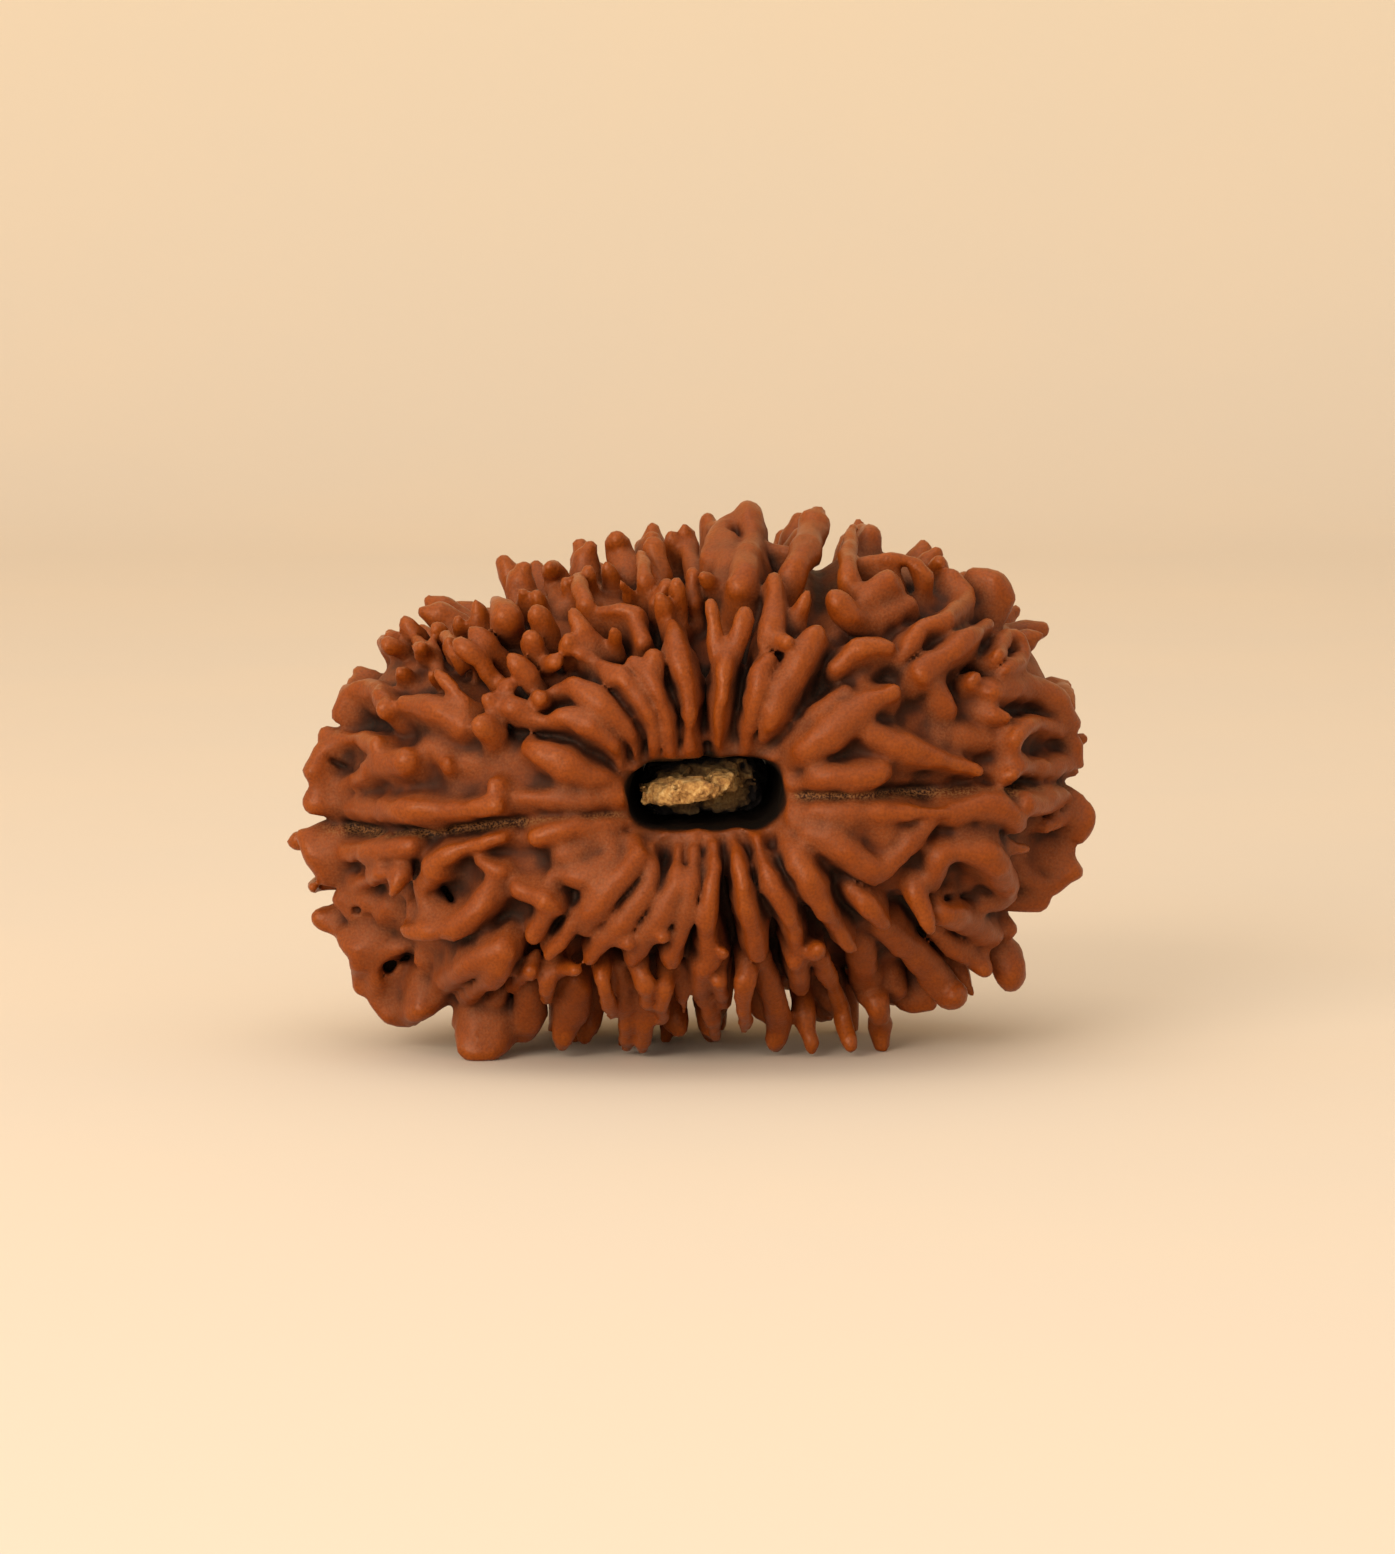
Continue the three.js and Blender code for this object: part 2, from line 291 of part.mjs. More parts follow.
  gillSixteen: [
    blade([-3, -2.9, 0.3, 0.36], [-2.9, -3.9, 1.4, 0.46], [-3.6, -4.8, 2, 0.62],
        [-4.4, -5.5, 2.3, 0.78], [-5, -6.4, 2.3, 0.8], [-5.4, -7.3, 2, 0.55]),
    blade([-5.7, -6.6, 2.2, 0.5], [-6.4, -7.9, 2.4, 0.5], [-7, -8.5, 2.4, 0.45]),
    finger([-6.5, -9, 1, 0.5], [-5.8, -9.2, 2.6, 0.42]),
    finger([-6.8, -8.7, 1, 0.5], [-7.1, -9.8, 2.2, 0.44], [-7.1, -10.6, 1.7, 0.32]),
    finger([-5.8, -9.7, 0.8, 0.8], [-5.9, -11, 1.4, 0.82], [-6.4, -12.6, 2.6, 0.5]),
    finger([-7.9, -9.7, 0.8, 0.55], [-8, -11.2, 1.6, 0.78], [-8.1, -12.3, 2.4, 0.48]),
  ],
  leftLower: [
    blade([-3.7, -2.2, 0.3, 0.4], [-5.3, -2.4, 1.3, 0.6], [-6.7, -2.6, 1.8, 0.66],
        [-7.7, -2.9, 2, 0.6]),
    blade([-3.7, -3.2, 0.5, 0.5], [-4.5, -4.2, 1.6, 0.8], [-5.5, -4.8, 2, 0.62],
        [-6.8, -4.8, 1.8, 0.5]),
    blade([-4.6, -3.2, 1, 1], [-6.2, -3.8, 1.4, 1]),
    blade([-10.4, -4, 1.9, 0.5], [-9.4, -4.5, 2.1, 0.45]),
    blade([-12.6, -4.3, 2.3, 0.75], [-11.8, -3.7, 2.2, 0.62], [-10.5, -3.3, 2.1, 0.5],
        [-9.4, -2.9, 2, 0.45]),
    blade([-16.9, -3.6, 1.6, 0.62], [-15.2, -3.5, 2.3, 0.55], [-13.6, -3.3, 2.1, 0.45]),
    blade([-18.5, -2.9, 3, 0.6], [-18.2, -3.7, 2.9, 0.85], [-17.6, -4.7, 2.5, 0.6]),
    finger([-17.7, -2.9, 1.5, 0.55], [-19.1, -3.1, 3.3, 0.38]),
    finger([-17.5, -4.9, 1.5, 0.5], [-18.2, -5.2, 3.2, 0.33]),
    blade([-16.8, -5.8, 2.1, 0.6], [-16, -5.1, 1.4, 0.55], [-15, -4.6, 2.4, 0.45]),
    blade([-16.4, -6.4, 2, 0.6], [-15.4, -5.8, 1.3, 0.35]),
    finger([-13.8, -3.9, 1, 0.55], [-14.2, -4.7, 2.4, 0.44], [-14.5, -5.5, 2.8, 0.33]),
    finger([-14.6, -6.2, 1, 0.45], [-15, -6.5, 1.3, 0.36]),
    finger([-16.9, -6.7, 1, 0.75], [-17.8, -6.7, 3.2, 0.62]),
    blade([-17, -6.8, 2.4, 0.7], [-16.2, -7.9, 2.6, 0.85], [-15, -8.3, 2, 0.72],
        [-13.8, -8.1, 1.2, 0.55]),
    blade([-13.6, -7.2, 2.7, 0.7], [-12.4, -7.4, 2.9, 0.72], [-11.1, -6.9, 2.7, 0.78],
        [-10.2, -6, 2.3, 0.8], [-9.7, -5, 2, 0.55]),
    blade([-12.8, -6.6, 2.2, 0.6], [-13.1, -5.4, 2, 0.5], [-12.1, -4.6, 2, 0.45]),
    blade([-8.4, -5.5, 2.2, 0.6], [-7.3, -6, 2.7, 0.8], [-6.6, -6.4, 2.5, 0.45]),
    blade([-7.2, -6.5, 2.5, 0.7], [-7.7, -7.5, 2.4, 0.55]),
    blade([-12.1, -9.8, 1.6, 0.8], [-11, -9.2, 3, 0.8], [-9.8, -8.5, 2.9, 0.7],
        [-9.2, -7.9, 2.5, 0.45]),
    blade([-9.1, -8.4, 2.8, 0.55], [-9.8, -9.6, 3, 0.7], [-11, -10.4, 1.8, 0.6]),
    blade([-15.1, -9, 2.5, 0.5], [-15.1, -9.9, 3, 0.7], [-14.4, -11.1, 3.3, 0.9],
        [-13.1, -11, 2.9, 0.8], [-12.2, -10.3, 1.8, 0.6]),
    blade([-13.8, -8.2, 1.2, 0.5], [-12.9, -8.7, 1.2, 0.6], [-12.6, -9.6, 1.5, 0.5]),
    blade([-15.9, -8.8, 2.9, 0.6], [-15.8, -9.8, 3.1, 0.58]),
    blade([-11.3, -11.7, 2.7, 0.48], [-10.6, -10.9, 1.8, 0.5], [-9.4, -10.6, 1.6, 0.45]),
    blade([-9.3, -11.2, 1.8, 0.6], [-9.1, -12.5, 2.8, 0.6], [-9.9, -13.3, 3.8, 0.6],
        [-11, -13.2, 4, 0.55], [-11.2, -11.9, 2.9, 0.45]),
    blade([-8.8, -10, 1.2, 0.45], [-7.9, -9.2, 2.3, 0.35]),
    finger([-10.5, -7.2, 0.6, 0.8], [-10.4, -7.9, 1.9, 0.6]),
  ],
};

// The far side's rule, with polar angles from the near pole: what each ring crosses, its angle and
// the height of its crests over the stone.
const far = {
  start: 1.25,
  rings: [
    ["pass", 1.34, 1.0], ["thorn", 1.45, 2.1], ["pass", 1.56, 1.6], ["thorn", 1.68, 2.5],
    ["pass", 1.8, 1.8], ["thorn", 1.92, 2.6], ["pass", 2.04, 1.8], ["thorn", 2.16, 2.5],
    ["pass", 2.28, 1.7], ["gill", 2.4, 2.1], ["gill", 2.63, 1.6], ["gill", 2.9, 0.6],
  ],
  spacing: 2.7,
  cleft: 1.3,
  groove: 1.7,
  bridge: 1.9,
  bridged: 0.3,
  lean: 0.05,
  uneven: 0.15,
  most: 3,
};

// Where the far feet stand, and how high they start.
const feet = [{ x: -6.5, y: 3.8, half: 0.6 }, { x: 0.8, y: 4.2, half: 0.55 }, { x: 7.2, y: 3.6, half: 0.6 }];
const feetTop = 5;

// Seeded draws, the same on every run.
let drawState = 20;
function draw(low = 0, high = 1) {
  drawState = (drawState * 48271) % 2147483647;
  return low + (high - low) * (drawState / 2147483647);
}

const mix = (a, b, t) => a + (b - a) * t;

// Distance from the stone's centre as a share of its surface raised by lift: 1 on that surface.
function gauge(p, lift = 0) {
  const [dx, dz] = [p.x - stone.x, p.z - stone.z];
  const [c, s] = [Math.cos(stone.tilt), Math.sin(stone.tilt)];
  const along = Math.abs(dx * c + dz * s) / (stone.halfWidth + lift);
  const across = Math.abs(dz * c - dx * s) / (stone.halfThickness + lift);
  const oval = (along ** stone.squareness + across ** stone.squareness) ** (1 / stone.squareness);
  return Math.hypot(oval, p.y / (stone.halfLength + lift));
}

// The direction straight out of the stone at a point.
function outward(p) {
  const h = 0.01;
  const slope = (axis) => {
    const [a, b] = [p.clone(), p.clone()];
    a[axis] += h;
    b[axis] -= h;
    return gauge(a) - gauge(b);
  };
  return new THREE.Vector3(slope("x"), slope("y"), slope("z")).normalize();
}

// The point on the stone, raised by lift, that is seen at (across, up) on the sight plane. A sight
// line that passes the stone gives its nearest point.
function seen(across, up, lift) {
  const back = new THREE.Vector3(0, -Math.cos(sight.elevation), Math.sin(sight.elevation));
  const plane = new THREE.Vector3(
    across,
    up * Math.sin(sight.elevation),
    sight.aimHeight + up * Math.cos(sight.elevation),
  );
  const eye = back.clone().multiplyScalar(sight.distance);
  eye.z += sight.aimHeight;
  const line = plane.clone().sub(eye).normalize();
  const at = (d) => plane.clone().addScaledVector(line, d);
  let best = -sight.nearest;
  for (let d = -sight.nearest; d < sight.furthest; d += sight.step) {
    if (gauge(at(d), lift) < gauge(at(best), lift)) best = d;
    if (gauge(at(d), lift) <= 1) break;
  }
  return at(best);
}

// The point of the stone, raised by lift, at an angle round the hole and an angle from its near pole.
function onStone(round, polar, lift) {
  const [c, s] = [Math.cos(round), Math.sin(round)];
  const power = stone.squareness;
  const size = Math.sin(polar) / (Math.abs(c) ** power + Math.abs(s) ** power) ** (1 / power);
  const along = (stone.halfWidth + lift) * c * size;
  const across = (stone.halfThickness + lift) * s * size;
  const [tc, ts] = [Math.cos(stone.tilt), Math.sin(stone.tilt)];
  return new THREE.Vector3(
    stone.x + along * tc - across * ts,
    -(stone.halfLength + lift) * Math.cos(polar),
    stone.z + along * ts + across * tc,
  );
}

// Both angles of a point, the inverse of onStone.
function anglesOf(p) {
  const [dx, dz] = [p.x - stone.x, p.z - stone.z];
  const [c, s] = [Math.cos(stone.tilt), Math.sin(stone.tilt)];
  const along = (dx * c + dz * s) / stone.halfWidth;
  const across = (dz * c - dx * s) / stone.halfThickness;
  const power = stone.squareness;
  const oval = (Math.abs(along) ** power + Math.abs(across) ** power) ** (1 / power);
  return { round: Math.atan2(across, along), polar: Math.atan2(oval, -p.y / stone.halfLength) };
}

// Each cleft as its angle round the hole against the angle from the near pole. The far half mirrors
// the near half, because a cleft runs from hole to hole.
function cleftLines() {
  let last = Math.PI;
  return clefts.map((points) => {
    const line = points.map(([across, up]) => anglesOf(seen(across, up, 0)));
    line.sort((a, b) => a.polar - b.polar);
    line.forEach((stop) => {
      while (stop.round - last > Math.PI) stop.round -= 2 * Math.PI;
      while (stop.round - last < -Math.PI) stop.round += 2 * Math.PI;
    });
    last = line[line.length - 1].round;
    return line;
  });
}

function roundAt(line, polar) {
  const near = Math.min(polar, Math.PI - polar);
  const next = line.findIndex((stop) => stop.polar > near);
  if (next < 0) return line[line.length - 1].round;
  if (next === 0) return line[0].round;
  const [a, b] = [line[next - 1], line[next]];
  return mix(a.round, b.round, (near - a.polar) / (b.polar - a.polar));
}

// The angle round the hole at a share of a lobe's width, from its own cleft to the next.
function lobeRound(lines, lobe, share, polar) {
  const own = roundAt(lines[lobe], polar);
  const wrap = lobe === lines.length - 1 ? 2 * Math.PI : 0;
  return mix(own, roundAt(lines[(lobe + 1) % lines.length], polar) - wrap, share);
}

function lobeWidth(lines, lobe, polar) {
  const edge = (share) => onStone(lobeRound(lines, lobe, share, polar), polar, 0);
  return edge(0).distanceTo(edge(1));
}

// A closed mesh through rings of points, each end shut by a fan or drawn to a tip.
function skin(rings, tip = null, startTip = null) {
  const sides = rings[0].length;
  const points = rings.flat();
  const faces = [];
  for (let r = 0; r + 1 < rings.length; r++) {
    for (let k = 0; k < sides; k++) {
      const [a, b] = [r * sides + k, r * sides + ((k + 1) % sides)];
      faces.push(a, b, b + sides, a, b + sides, a + sides);
    }
  }
  const shut = (first, apex, forwards) => {
    const add = (a, b, c) => faces.push(...(forwards ? [a, b, c] : [a, c, b]));
    if (apex) {
      points.push(apex);
      for (let k = 0; k < sides; k++) add(points.length - 1, first + k, first + ((k + 1) % sides));
    } else {
      for (let k = 1; k + 1 < sides; k++) add(first, first + k, first + k + 1);
    }
  };
  shut(0, startTip, false);
  shut((rings.length - 1) * sides, tip, true);
  return closedMesh(points, faces);
}

// An indexed geometry with its faces turned to point out.
function closedMesh(points, faces) {
  let volume = 0;
  for (let f = 0; f < faces.length; f += 3) {
    const [a, b, c] = [points[faces[f]], points[faces[f + 1]], points[faces[f + 2]]];
    volume += a.dot(new THREE.Vector3().crossVectors(b, c));
  }
  if (volume < 0) faces.reverse();
  const geometry = new THREE.BufferGeometry().setFromPoints(points);
  return geometry.setIndex(faces);
}

// The stone with its twenty lobes: a grid from pole to pole that dips at each cleft. Its far half is
// sunk, because the far burr covers it.
function lobedStone(lines) {
  const polars = [0.3, 0.65, 1.0, 1.3, 1.5, 2.3];
  const rings = polars.map((polar) =>
    lines.flatMap((_, lobe) => {
      const high = Math.min(relief.lobe, relief.lobePerWidth * lobeWidth(lines, lobe, polar));
      return [0, 0.5].map((share) => {
        const lift = polar > far.start ? -relief.root * 2 : share ? high : relief.cleft;
        return onStone(lobeRound(lines, lobe, share, polar), polar, lift);
      });
    }),
  );
  return skin(rings, onStone(0, Math.PI, -relief.root * 2), onStone(0, 0, 0));
}

// A ridge that follows the stone: a three-sided section hangs from its crest line into the stone.
function bladeSolid(crest) {
  const last = crest.length - 1;
  const rings = crest.map(({ at, lift, half }, i) => {
    const out = outward(at);
    const run = crest[Math.min(i + 1, last)].at.clone().sub(crest[Math.max(i - 1, 0)].at);
    run.addScaledVector(out, -run.dot(out)).normalize();
    const side = new THREE.Vector3().crossVectors(out, run);
    const end = i === 0 ? -1 : i === last ? 1 : 0;
    const width = half * blades.foot * (end ? blades.endWidth : 1);
    const top = at.clone().addScaledVector(run, end * half * blades.endReach);
    top.addScaledVector(out, end ? -blades.endDrop * half : 0);
    const foot = (across) =>
      top.clone().addScaledVector(side, across).addScaledVector(out, -lift - relief.root);
    return [foot(-width), top, foot(width)];
  });
  return skin(rings);
}

// A knob or thorn: a four-sided tapered peg along its points, rooted in the stone and drawn to a tip.
function fingerSolid(stops) {
  const root = stops[0].at.clone().addScaledVector(outward(stops[0].at), -relief.root - stops[0].lift);
  const path = [{ at: root, half: stops[0].half * fingers.flare }, ...stops.slice(1)];
  const last = path.length - 1;
  const rings = path.map(({ at, half }, i) => {
    const run = path[Math.min(i + 1, last)].at.clone().sub(path[Math.max(i - 1, 0)].at).normalize();
    const side = new THREE.Vector3(1, 0, 0).addScaledVector(run, -run.x);
    if (side.length() < 0.5) side.set(0, 0, 1).addScaledVector(run, -run.z);
    side.normalize();
    const other = new THREE.Vector3().crossVectors(run, side);
    return Array.from({ length: fingers.sides }, (_, k) => {
      const turn = (2 * Math.PI * k) / fingers.sides;
      return at
        .clone()
        .addScaledVector(side, half * Math.cos(turn))
        .addScaledVector(other, half * Math.sin(turn));
    });
  });
  const along = path[last].at.clone().sub(path[last - 1].at).normalize();
  const point = path[last].at.clone().addScaledVector(along, path[last].half * fingers.point);
  return skin(rings, point);
}

// The ridges of the near side, as laid out.
function nearRidges() {
  return Object.values(lobes).flatMap((ridges) =>
    ridges.map(({ kind, points }) => {
      const stops = points.map(([across, up, lift, half]) => ({ at: seen(across, up, lift), lift, half }));
      return kind === "blade" ? bladeSolid(stops) : fingerSolid(stops);
    }),
  );
}

// The far side, a burr of gills and thorns drawn by a rule in place of a layout: its columns run
// alternately in a groove and over a crest, and its rings alternately cross the thorns and pass
// between them. A crest that is raised between two thorns makes them a bridge.
function farBurr(lines) {
  const columns = lines.flatMap((_, lobe) => {
    const crests = Math.max(1, Math.round(lobeWidth(lines, lobe, Math.PI / 2) / far.spacing));
    const step = 0.5 / crests;
    return Array.from({ length: crests * 2 }, (_, k) => ({ lobe, share: k * step, step, k }));
  });
  const ring = (kind, polar, height) =>
    columns.map(({ lobe, share, step, k }) => {
      const groove = k === 0 ? far.cleft : far.groove;
      const thorn = kind === "thorn" && k % 2 === 1;
      const bridge = draw() < far.bridged;
      const [sway, lean, reach] = [draw(-0.5, 0.5), draw(-far.lean, far.lean), draw(-far.uneven, far.uneven)];
      const round = lobeRound(lines, lobe, share + (thorn ? sway * step : 0), polar);
      const level = k % 2 === 0 ? groove : thorn ? height + reach : bridge ? far.bridge : height;
      const tipped = polar + sight.elevation * Math.sin(round) + (thorn ? lean : 0);
      return onStone(round, tipped, Math.min(level, far.most * lobeWidth(lines, lobe, polar) * step + 0.5));
    });
  const rooted = ({ lobe, share }) => {
    return onStone(lobeRound(lines, lobe, share, far.start), far.start, -relief.root);
  };
  const rings = [
    columns.map(rooted),
    ...far.rings.map(([kind, polar, height]) => ring(kind, polar, height)),
  ];
  return skin(rings, onStone(0, Math.PI, 0));
}

// The feet under the far side: pegs from the stone down to the floor.
function farFeet() {
  return feet.map(({ x, y, half }) => {
    const stop = (z, width) => {
      const at = new THREE.Vector3(x, y, z);
      return { at, lift: 0, half: width };
    };
    return fingerSolid([stop(feetTop, half * 1.3), stop(0.2, half)]);
  });
}

// A rounded slot outline at a place along the channel, grown or shrunk by a margin.
function slotRing({ y, halfWidth, halfHeight, corner, tilt, raise }, margin = 0) {
  const ring = [];
  const quadrants = [[1, 1], [-1, 1], [-1, -1], [1, -1]];
  quadrants.forEach(([sx, sz], q) => {
    for (let k = 0; k <= channel.cornerSteps; k++) {
      const turn = (q + k / channel.cornerSteps) * (Math.PI / 2);
      const x = sx * (halfWidth - corner) + (corner + margin) * Math.cos(turn);
      const z = sz * (halfHeight - corner) + (corner + margin) * Math.sin(turn);
      ring.push(
        new THREE.Vector3(
          channel.x + x * Math.cos(tilt) - z * Math.sin(tilt),
          y,
          channel.z + raise + x * Math.sin(tilt) + z * Math.cos(tilt),
        ),
      );
    }
  });
  return ring;
}

// The channel's own size at any place along it.
function channelAt(y) {
  const { mouth, far: end } = channel;
  const t = (y - mouth.y) / (end.y - mouth.y);
  const size = { y };
  ["halfWidth", "halfHeight", "corner", "tilt", "raise"].forEach((key) => {
    size[key] = mix(mouth[key], end[key], t);
  });
  return size;
}

function channelSolid() {
  const { mouth, far: end, overrun } = channel;
  return skin([
    slotRing({ ...mouth, y: mouth.y - overrun }),
    slotRing(mouth),
    slotRing(end),
    slotRing({ ...end, y: end.y + overrun }),
  ]);
}

// The crumb of pith: a thin broken flake towards the mouth that widens into a plug further in.
function pithGeometry() {
  const rings = pith.stops.map(({ y, left, right, low, high }) => {
    const { raise, halfWidth, halfHeight } = channelAt(y);
    const limit = (value, half) => Math.max(pith.gap - half, Math.min(half - pith.gap, value));
    return Array.from({ length: pith.sides }, (_, k) => {
      const turn = (2 * Math.PI * k) / pith.sides;
      const shred = 1 - draw(0, pith.shred);
      const x = mix(left, right, 0.5 + 0.5 * Math.cos(turn) * shred);
      const z = mix(low, high, 0.5 + 0.5 * Math.sin(turn) * shred) + pith.slant * x;
      return new THREE.Vector3(
        channel.x + limit(x, halfWidth),
        y + draw(-pith.shred, pith.shred),
        channel.z + raise + limit(z, halfHeight),
      );
    });
  });
  return skin(rings);
}

const wasm = await Module();
wasm.setup();

function toSolid(geometry) {
  const bare = geometry.clone();
  bare.deleteAttribute("normal");
  bare.deleteAttribute("uv");
  const merged = mergeVertices(bare);
  return new wasm.Manifold(
    new wasm.Mesh({
      numProp: 3,
      vertProperties: merged.attributes.position.array,
      triVerts: new Uint32Array(merged.index.array),
    }),
  );
}

function toGeometry(solid) {
  const { vertProperties, triVerts } = solid.getMesh();
  const geometry = new THREE.BufferGeometry();
  geometry.setAttribute("position", new THREE.BufferAttribute(vertProperties, 3));
  geometry.setIndex(new THREE.BufferAttribute(triVerts, 1));
  geometry.computeVertexNormals();
  return geometry;
}

// The largest body's outer skin, which fills any hollow that the joining sealed.
function largest(solid) {
  return solid.decompose().reduce((a, b) => (b.volume() > a.volume() ? b : a));
}

// Everything that has grown together, with the channel cut through and its feet worn flat.
function beadGeometry() {
  const lines = cleftLines();
  let grown = toSolid(lobedStone(lines));
  for (const piece of [farBurr(lines), ...farFeet(), ...nearRidges()]) grown = grown.add(toSolid(piece));
  const floor = new THREE.BoxGeometry(60, 60, 10).translate(0, 0, -5);
  const cut = largest(grown).subtract(toSolid(channelSolid())).subtract(toSolid(floor));
  return toGeometry(largest(cut));
}

const bead = new THREE.Mesh(
  beadGeometry(),
  new THREE.MeshStandardMaterial({ color: 0x8a4527, roughness: 0.5, metalness: 0 }),
);
bead.name = "bead";

const pithCrumb = new THREE.Mesh(
  pithGeometry(),
  new THREE.MeshStandardMaterial({ color: 0xb98d4f, roughness: 0.9, metalness: 0 }),
);
pithCrumb.name = "pith";

const rudraksha = new THREE.Group();
rudraksha.add(bead, pithCrumb);
rudraksha.position.set(centring.x, centring.y, 0);

export default rudraksha;
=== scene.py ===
from math import cos, pi, radians, sin

import bpy
import numpy as np
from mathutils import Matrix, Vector


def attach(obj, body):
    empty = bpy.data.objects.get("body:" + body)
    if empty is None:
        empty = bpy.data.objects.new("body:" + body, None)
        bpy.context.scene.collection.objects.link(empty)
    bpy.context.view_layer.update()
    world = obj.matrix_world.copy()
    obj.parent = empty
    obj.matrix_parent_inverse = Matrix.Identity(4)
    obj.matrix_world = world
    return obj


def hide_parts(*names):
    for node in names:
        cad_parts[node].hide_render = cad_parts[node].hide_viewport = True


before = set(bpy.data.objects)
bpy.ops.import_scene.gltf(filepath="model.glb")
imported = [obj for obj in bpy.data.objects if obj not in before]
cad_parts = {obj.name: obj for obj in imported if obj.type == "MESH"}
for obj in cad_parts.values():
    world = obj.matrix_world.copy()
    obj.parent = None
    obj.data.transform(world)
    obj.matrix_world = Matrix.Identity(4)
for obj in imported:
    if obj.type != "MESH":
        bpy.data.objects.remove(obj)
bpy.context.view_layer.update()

# A twenty-mukhi rudraksha, the dried stone of a fruit. All sizes below are in millimetres and are
# turned to metres where a mesh is made.
mm = 0.001

# The smooth stone under the lobes: an ellipsoid with a slightly square, tilted oval outline.
stone = dict(halfWidth=15.9, halfThickness=9.9, halfLength=9.6, squareness=2.4,
             tilt=radians(7), x=0.1, z=12.55)

# The near side is laid out as it is seen along this sight, on the upright plane through its aim.
sight = dict(distance=320, elevation=radians(7), aimHeight=12.75, nearest=17, furthest=6, step=0.1)

# How far the clefts and lobes stand over the stone.
relief = dict(cleft=-0.3, lobe=1.0, lobePerWidth=0.2)

# The channel through the stone, from its wide mouth to the small one at the far side.
channel = dict(x=0.35, z=13.05,
               mouth=dict(y=-9.6, halfWidth=3.65, halfHeight=1.65, corner=1.45, tilt=radians(2), lift=0),
               far=dict(y=9.6, halfWidth=2.5, halfHeight=1.3, corner=1.1, tilt=0, lift=-0.4))

centring = np.array([0.5, -0.07, 0])  # moves the layout's middle to the frame's origin


# Points are [across, up, height over the stone, half width], read on the sight plane.
def blade(*points):
    return "blade", np.array(points, float)


def finger(*points):
    return "finger", np.array(points, float)


# The twenty clefts of the near side, [across, up] from the hole to the edge, clockwise from the left.
clefts = [
    [[-3.4, -1.8], [-6.5, -1.9], [-8.8, -2.1], [-13.2, -2.6], [-18.3, -2.3]],
    [[-3.6, 0], [-4.6, 1.2], [-6.8, 1.8], [-8.5, 2.5], [-12.6, 2], [-16.6, 2.6]],
    [[-2.9, 1.2], [-3.7, 2.5], [-4.6, 3.4], [-5.7, 3.9], [-7, 3.3], [-9.1, 4.1], [-12.1, 5.8], [-14.4, 6.9]],
    [[-2.5, 1.2], [-2.7, 3.1], [-3.6, 4.2], [-4.6, 5], [-6.2, 5.1], [-8.4, 6.5], [-10.8, 8.4]],
    [[-1.7, 1.2], [-1.9, 3.4], [-2.5, 4.5], [-3.7, 5.8], [-4.6, 6.7], [-6.5, 8.3], [-7.7, 9.8]],
    [[-0.8, 1], [-1, 3.4], [-1.4, 5], [-2.1, 6.1], [-2.6, 7.7], [-3.3, 9.4], [-4.6, 10.9]],
    [[0.1, 1], [0.3, 3.8], [0.1, 6.7], [-0.4, 8.1], [-0.8, 9.4], [-1.4, 11.7]],
    [[1.6, 1.2], [2, 3.8], [2.6, 6.2], [2.9, 8.3], [3.3, 10.2], [3.4, 11.7]],
    [[2.9, 1], [3.4, 3.4], [4.2, 5.2], [5.8, 7.9], [6.3, 10.3], [6.6, 12.1]],
    [[3.8, 0.3], [5.4, 1.9], [7.7, 4.1], [9.9, 5], [12.4, 6.5], [14.7, 7.8]],
    [[4.1, -0.9], [8.1, -0.8], [14.3, -0.6], [18.5, -0.5]],
    [[3.9, -2.1], [5.3, -3.9], [7.2, -5.3], [9.8, -5.7], [11.2, -7.3], [13.1, -9.8]],
    [[3.2, -2.6], [4.4, -4.2], [5.4, -6], [6.5, -7.7], [7.2, -9.3], [8.2, -11.7]],
    [[2.2, -2.9], [2.8, -4.4], [3.4, -6], [3.9, -7.7], [4.2, -9.8], [4.5, -11.9]],
    [[1.2, -3], [1.5, -4.4], [1.6, -5.8], [1.7, -7.7], [1.8, -9.8], [1.7, -11.9]],
    [[0.3, -3.1], [0.3, -4.9], [0.1, -6.3], [-0.2, -8.2], [-0.4, -10.5], [-0.5, -11.9]],
    [[-0.6, -3.1], [-0.5, -4.9], [-0.8, -6.3], [-1.5, -8.4], [-2, -9.8], [-2.3, -11.9]],
    [[-1.5, -3.1], [-1.6, -4.9], [-2, -6], [-2.9, -7.5], [-3.6, -8.6], [-4, -10.5], [-4.5, -12.4]],
    [[-2.6, -3], [-2.6, -4.9], [-3.1, -5.9], [-4, -7], [-5.1, -8.1], [-6.1, -9.6], [-7.2, -12.2]],
    [[-3.3, -2.6], [-3.5, -4], [-4.5, -5], [-5.9, -6], [-7.4, -8.4], [-9.3, -9.8], [-12.1, -11.2]],
]

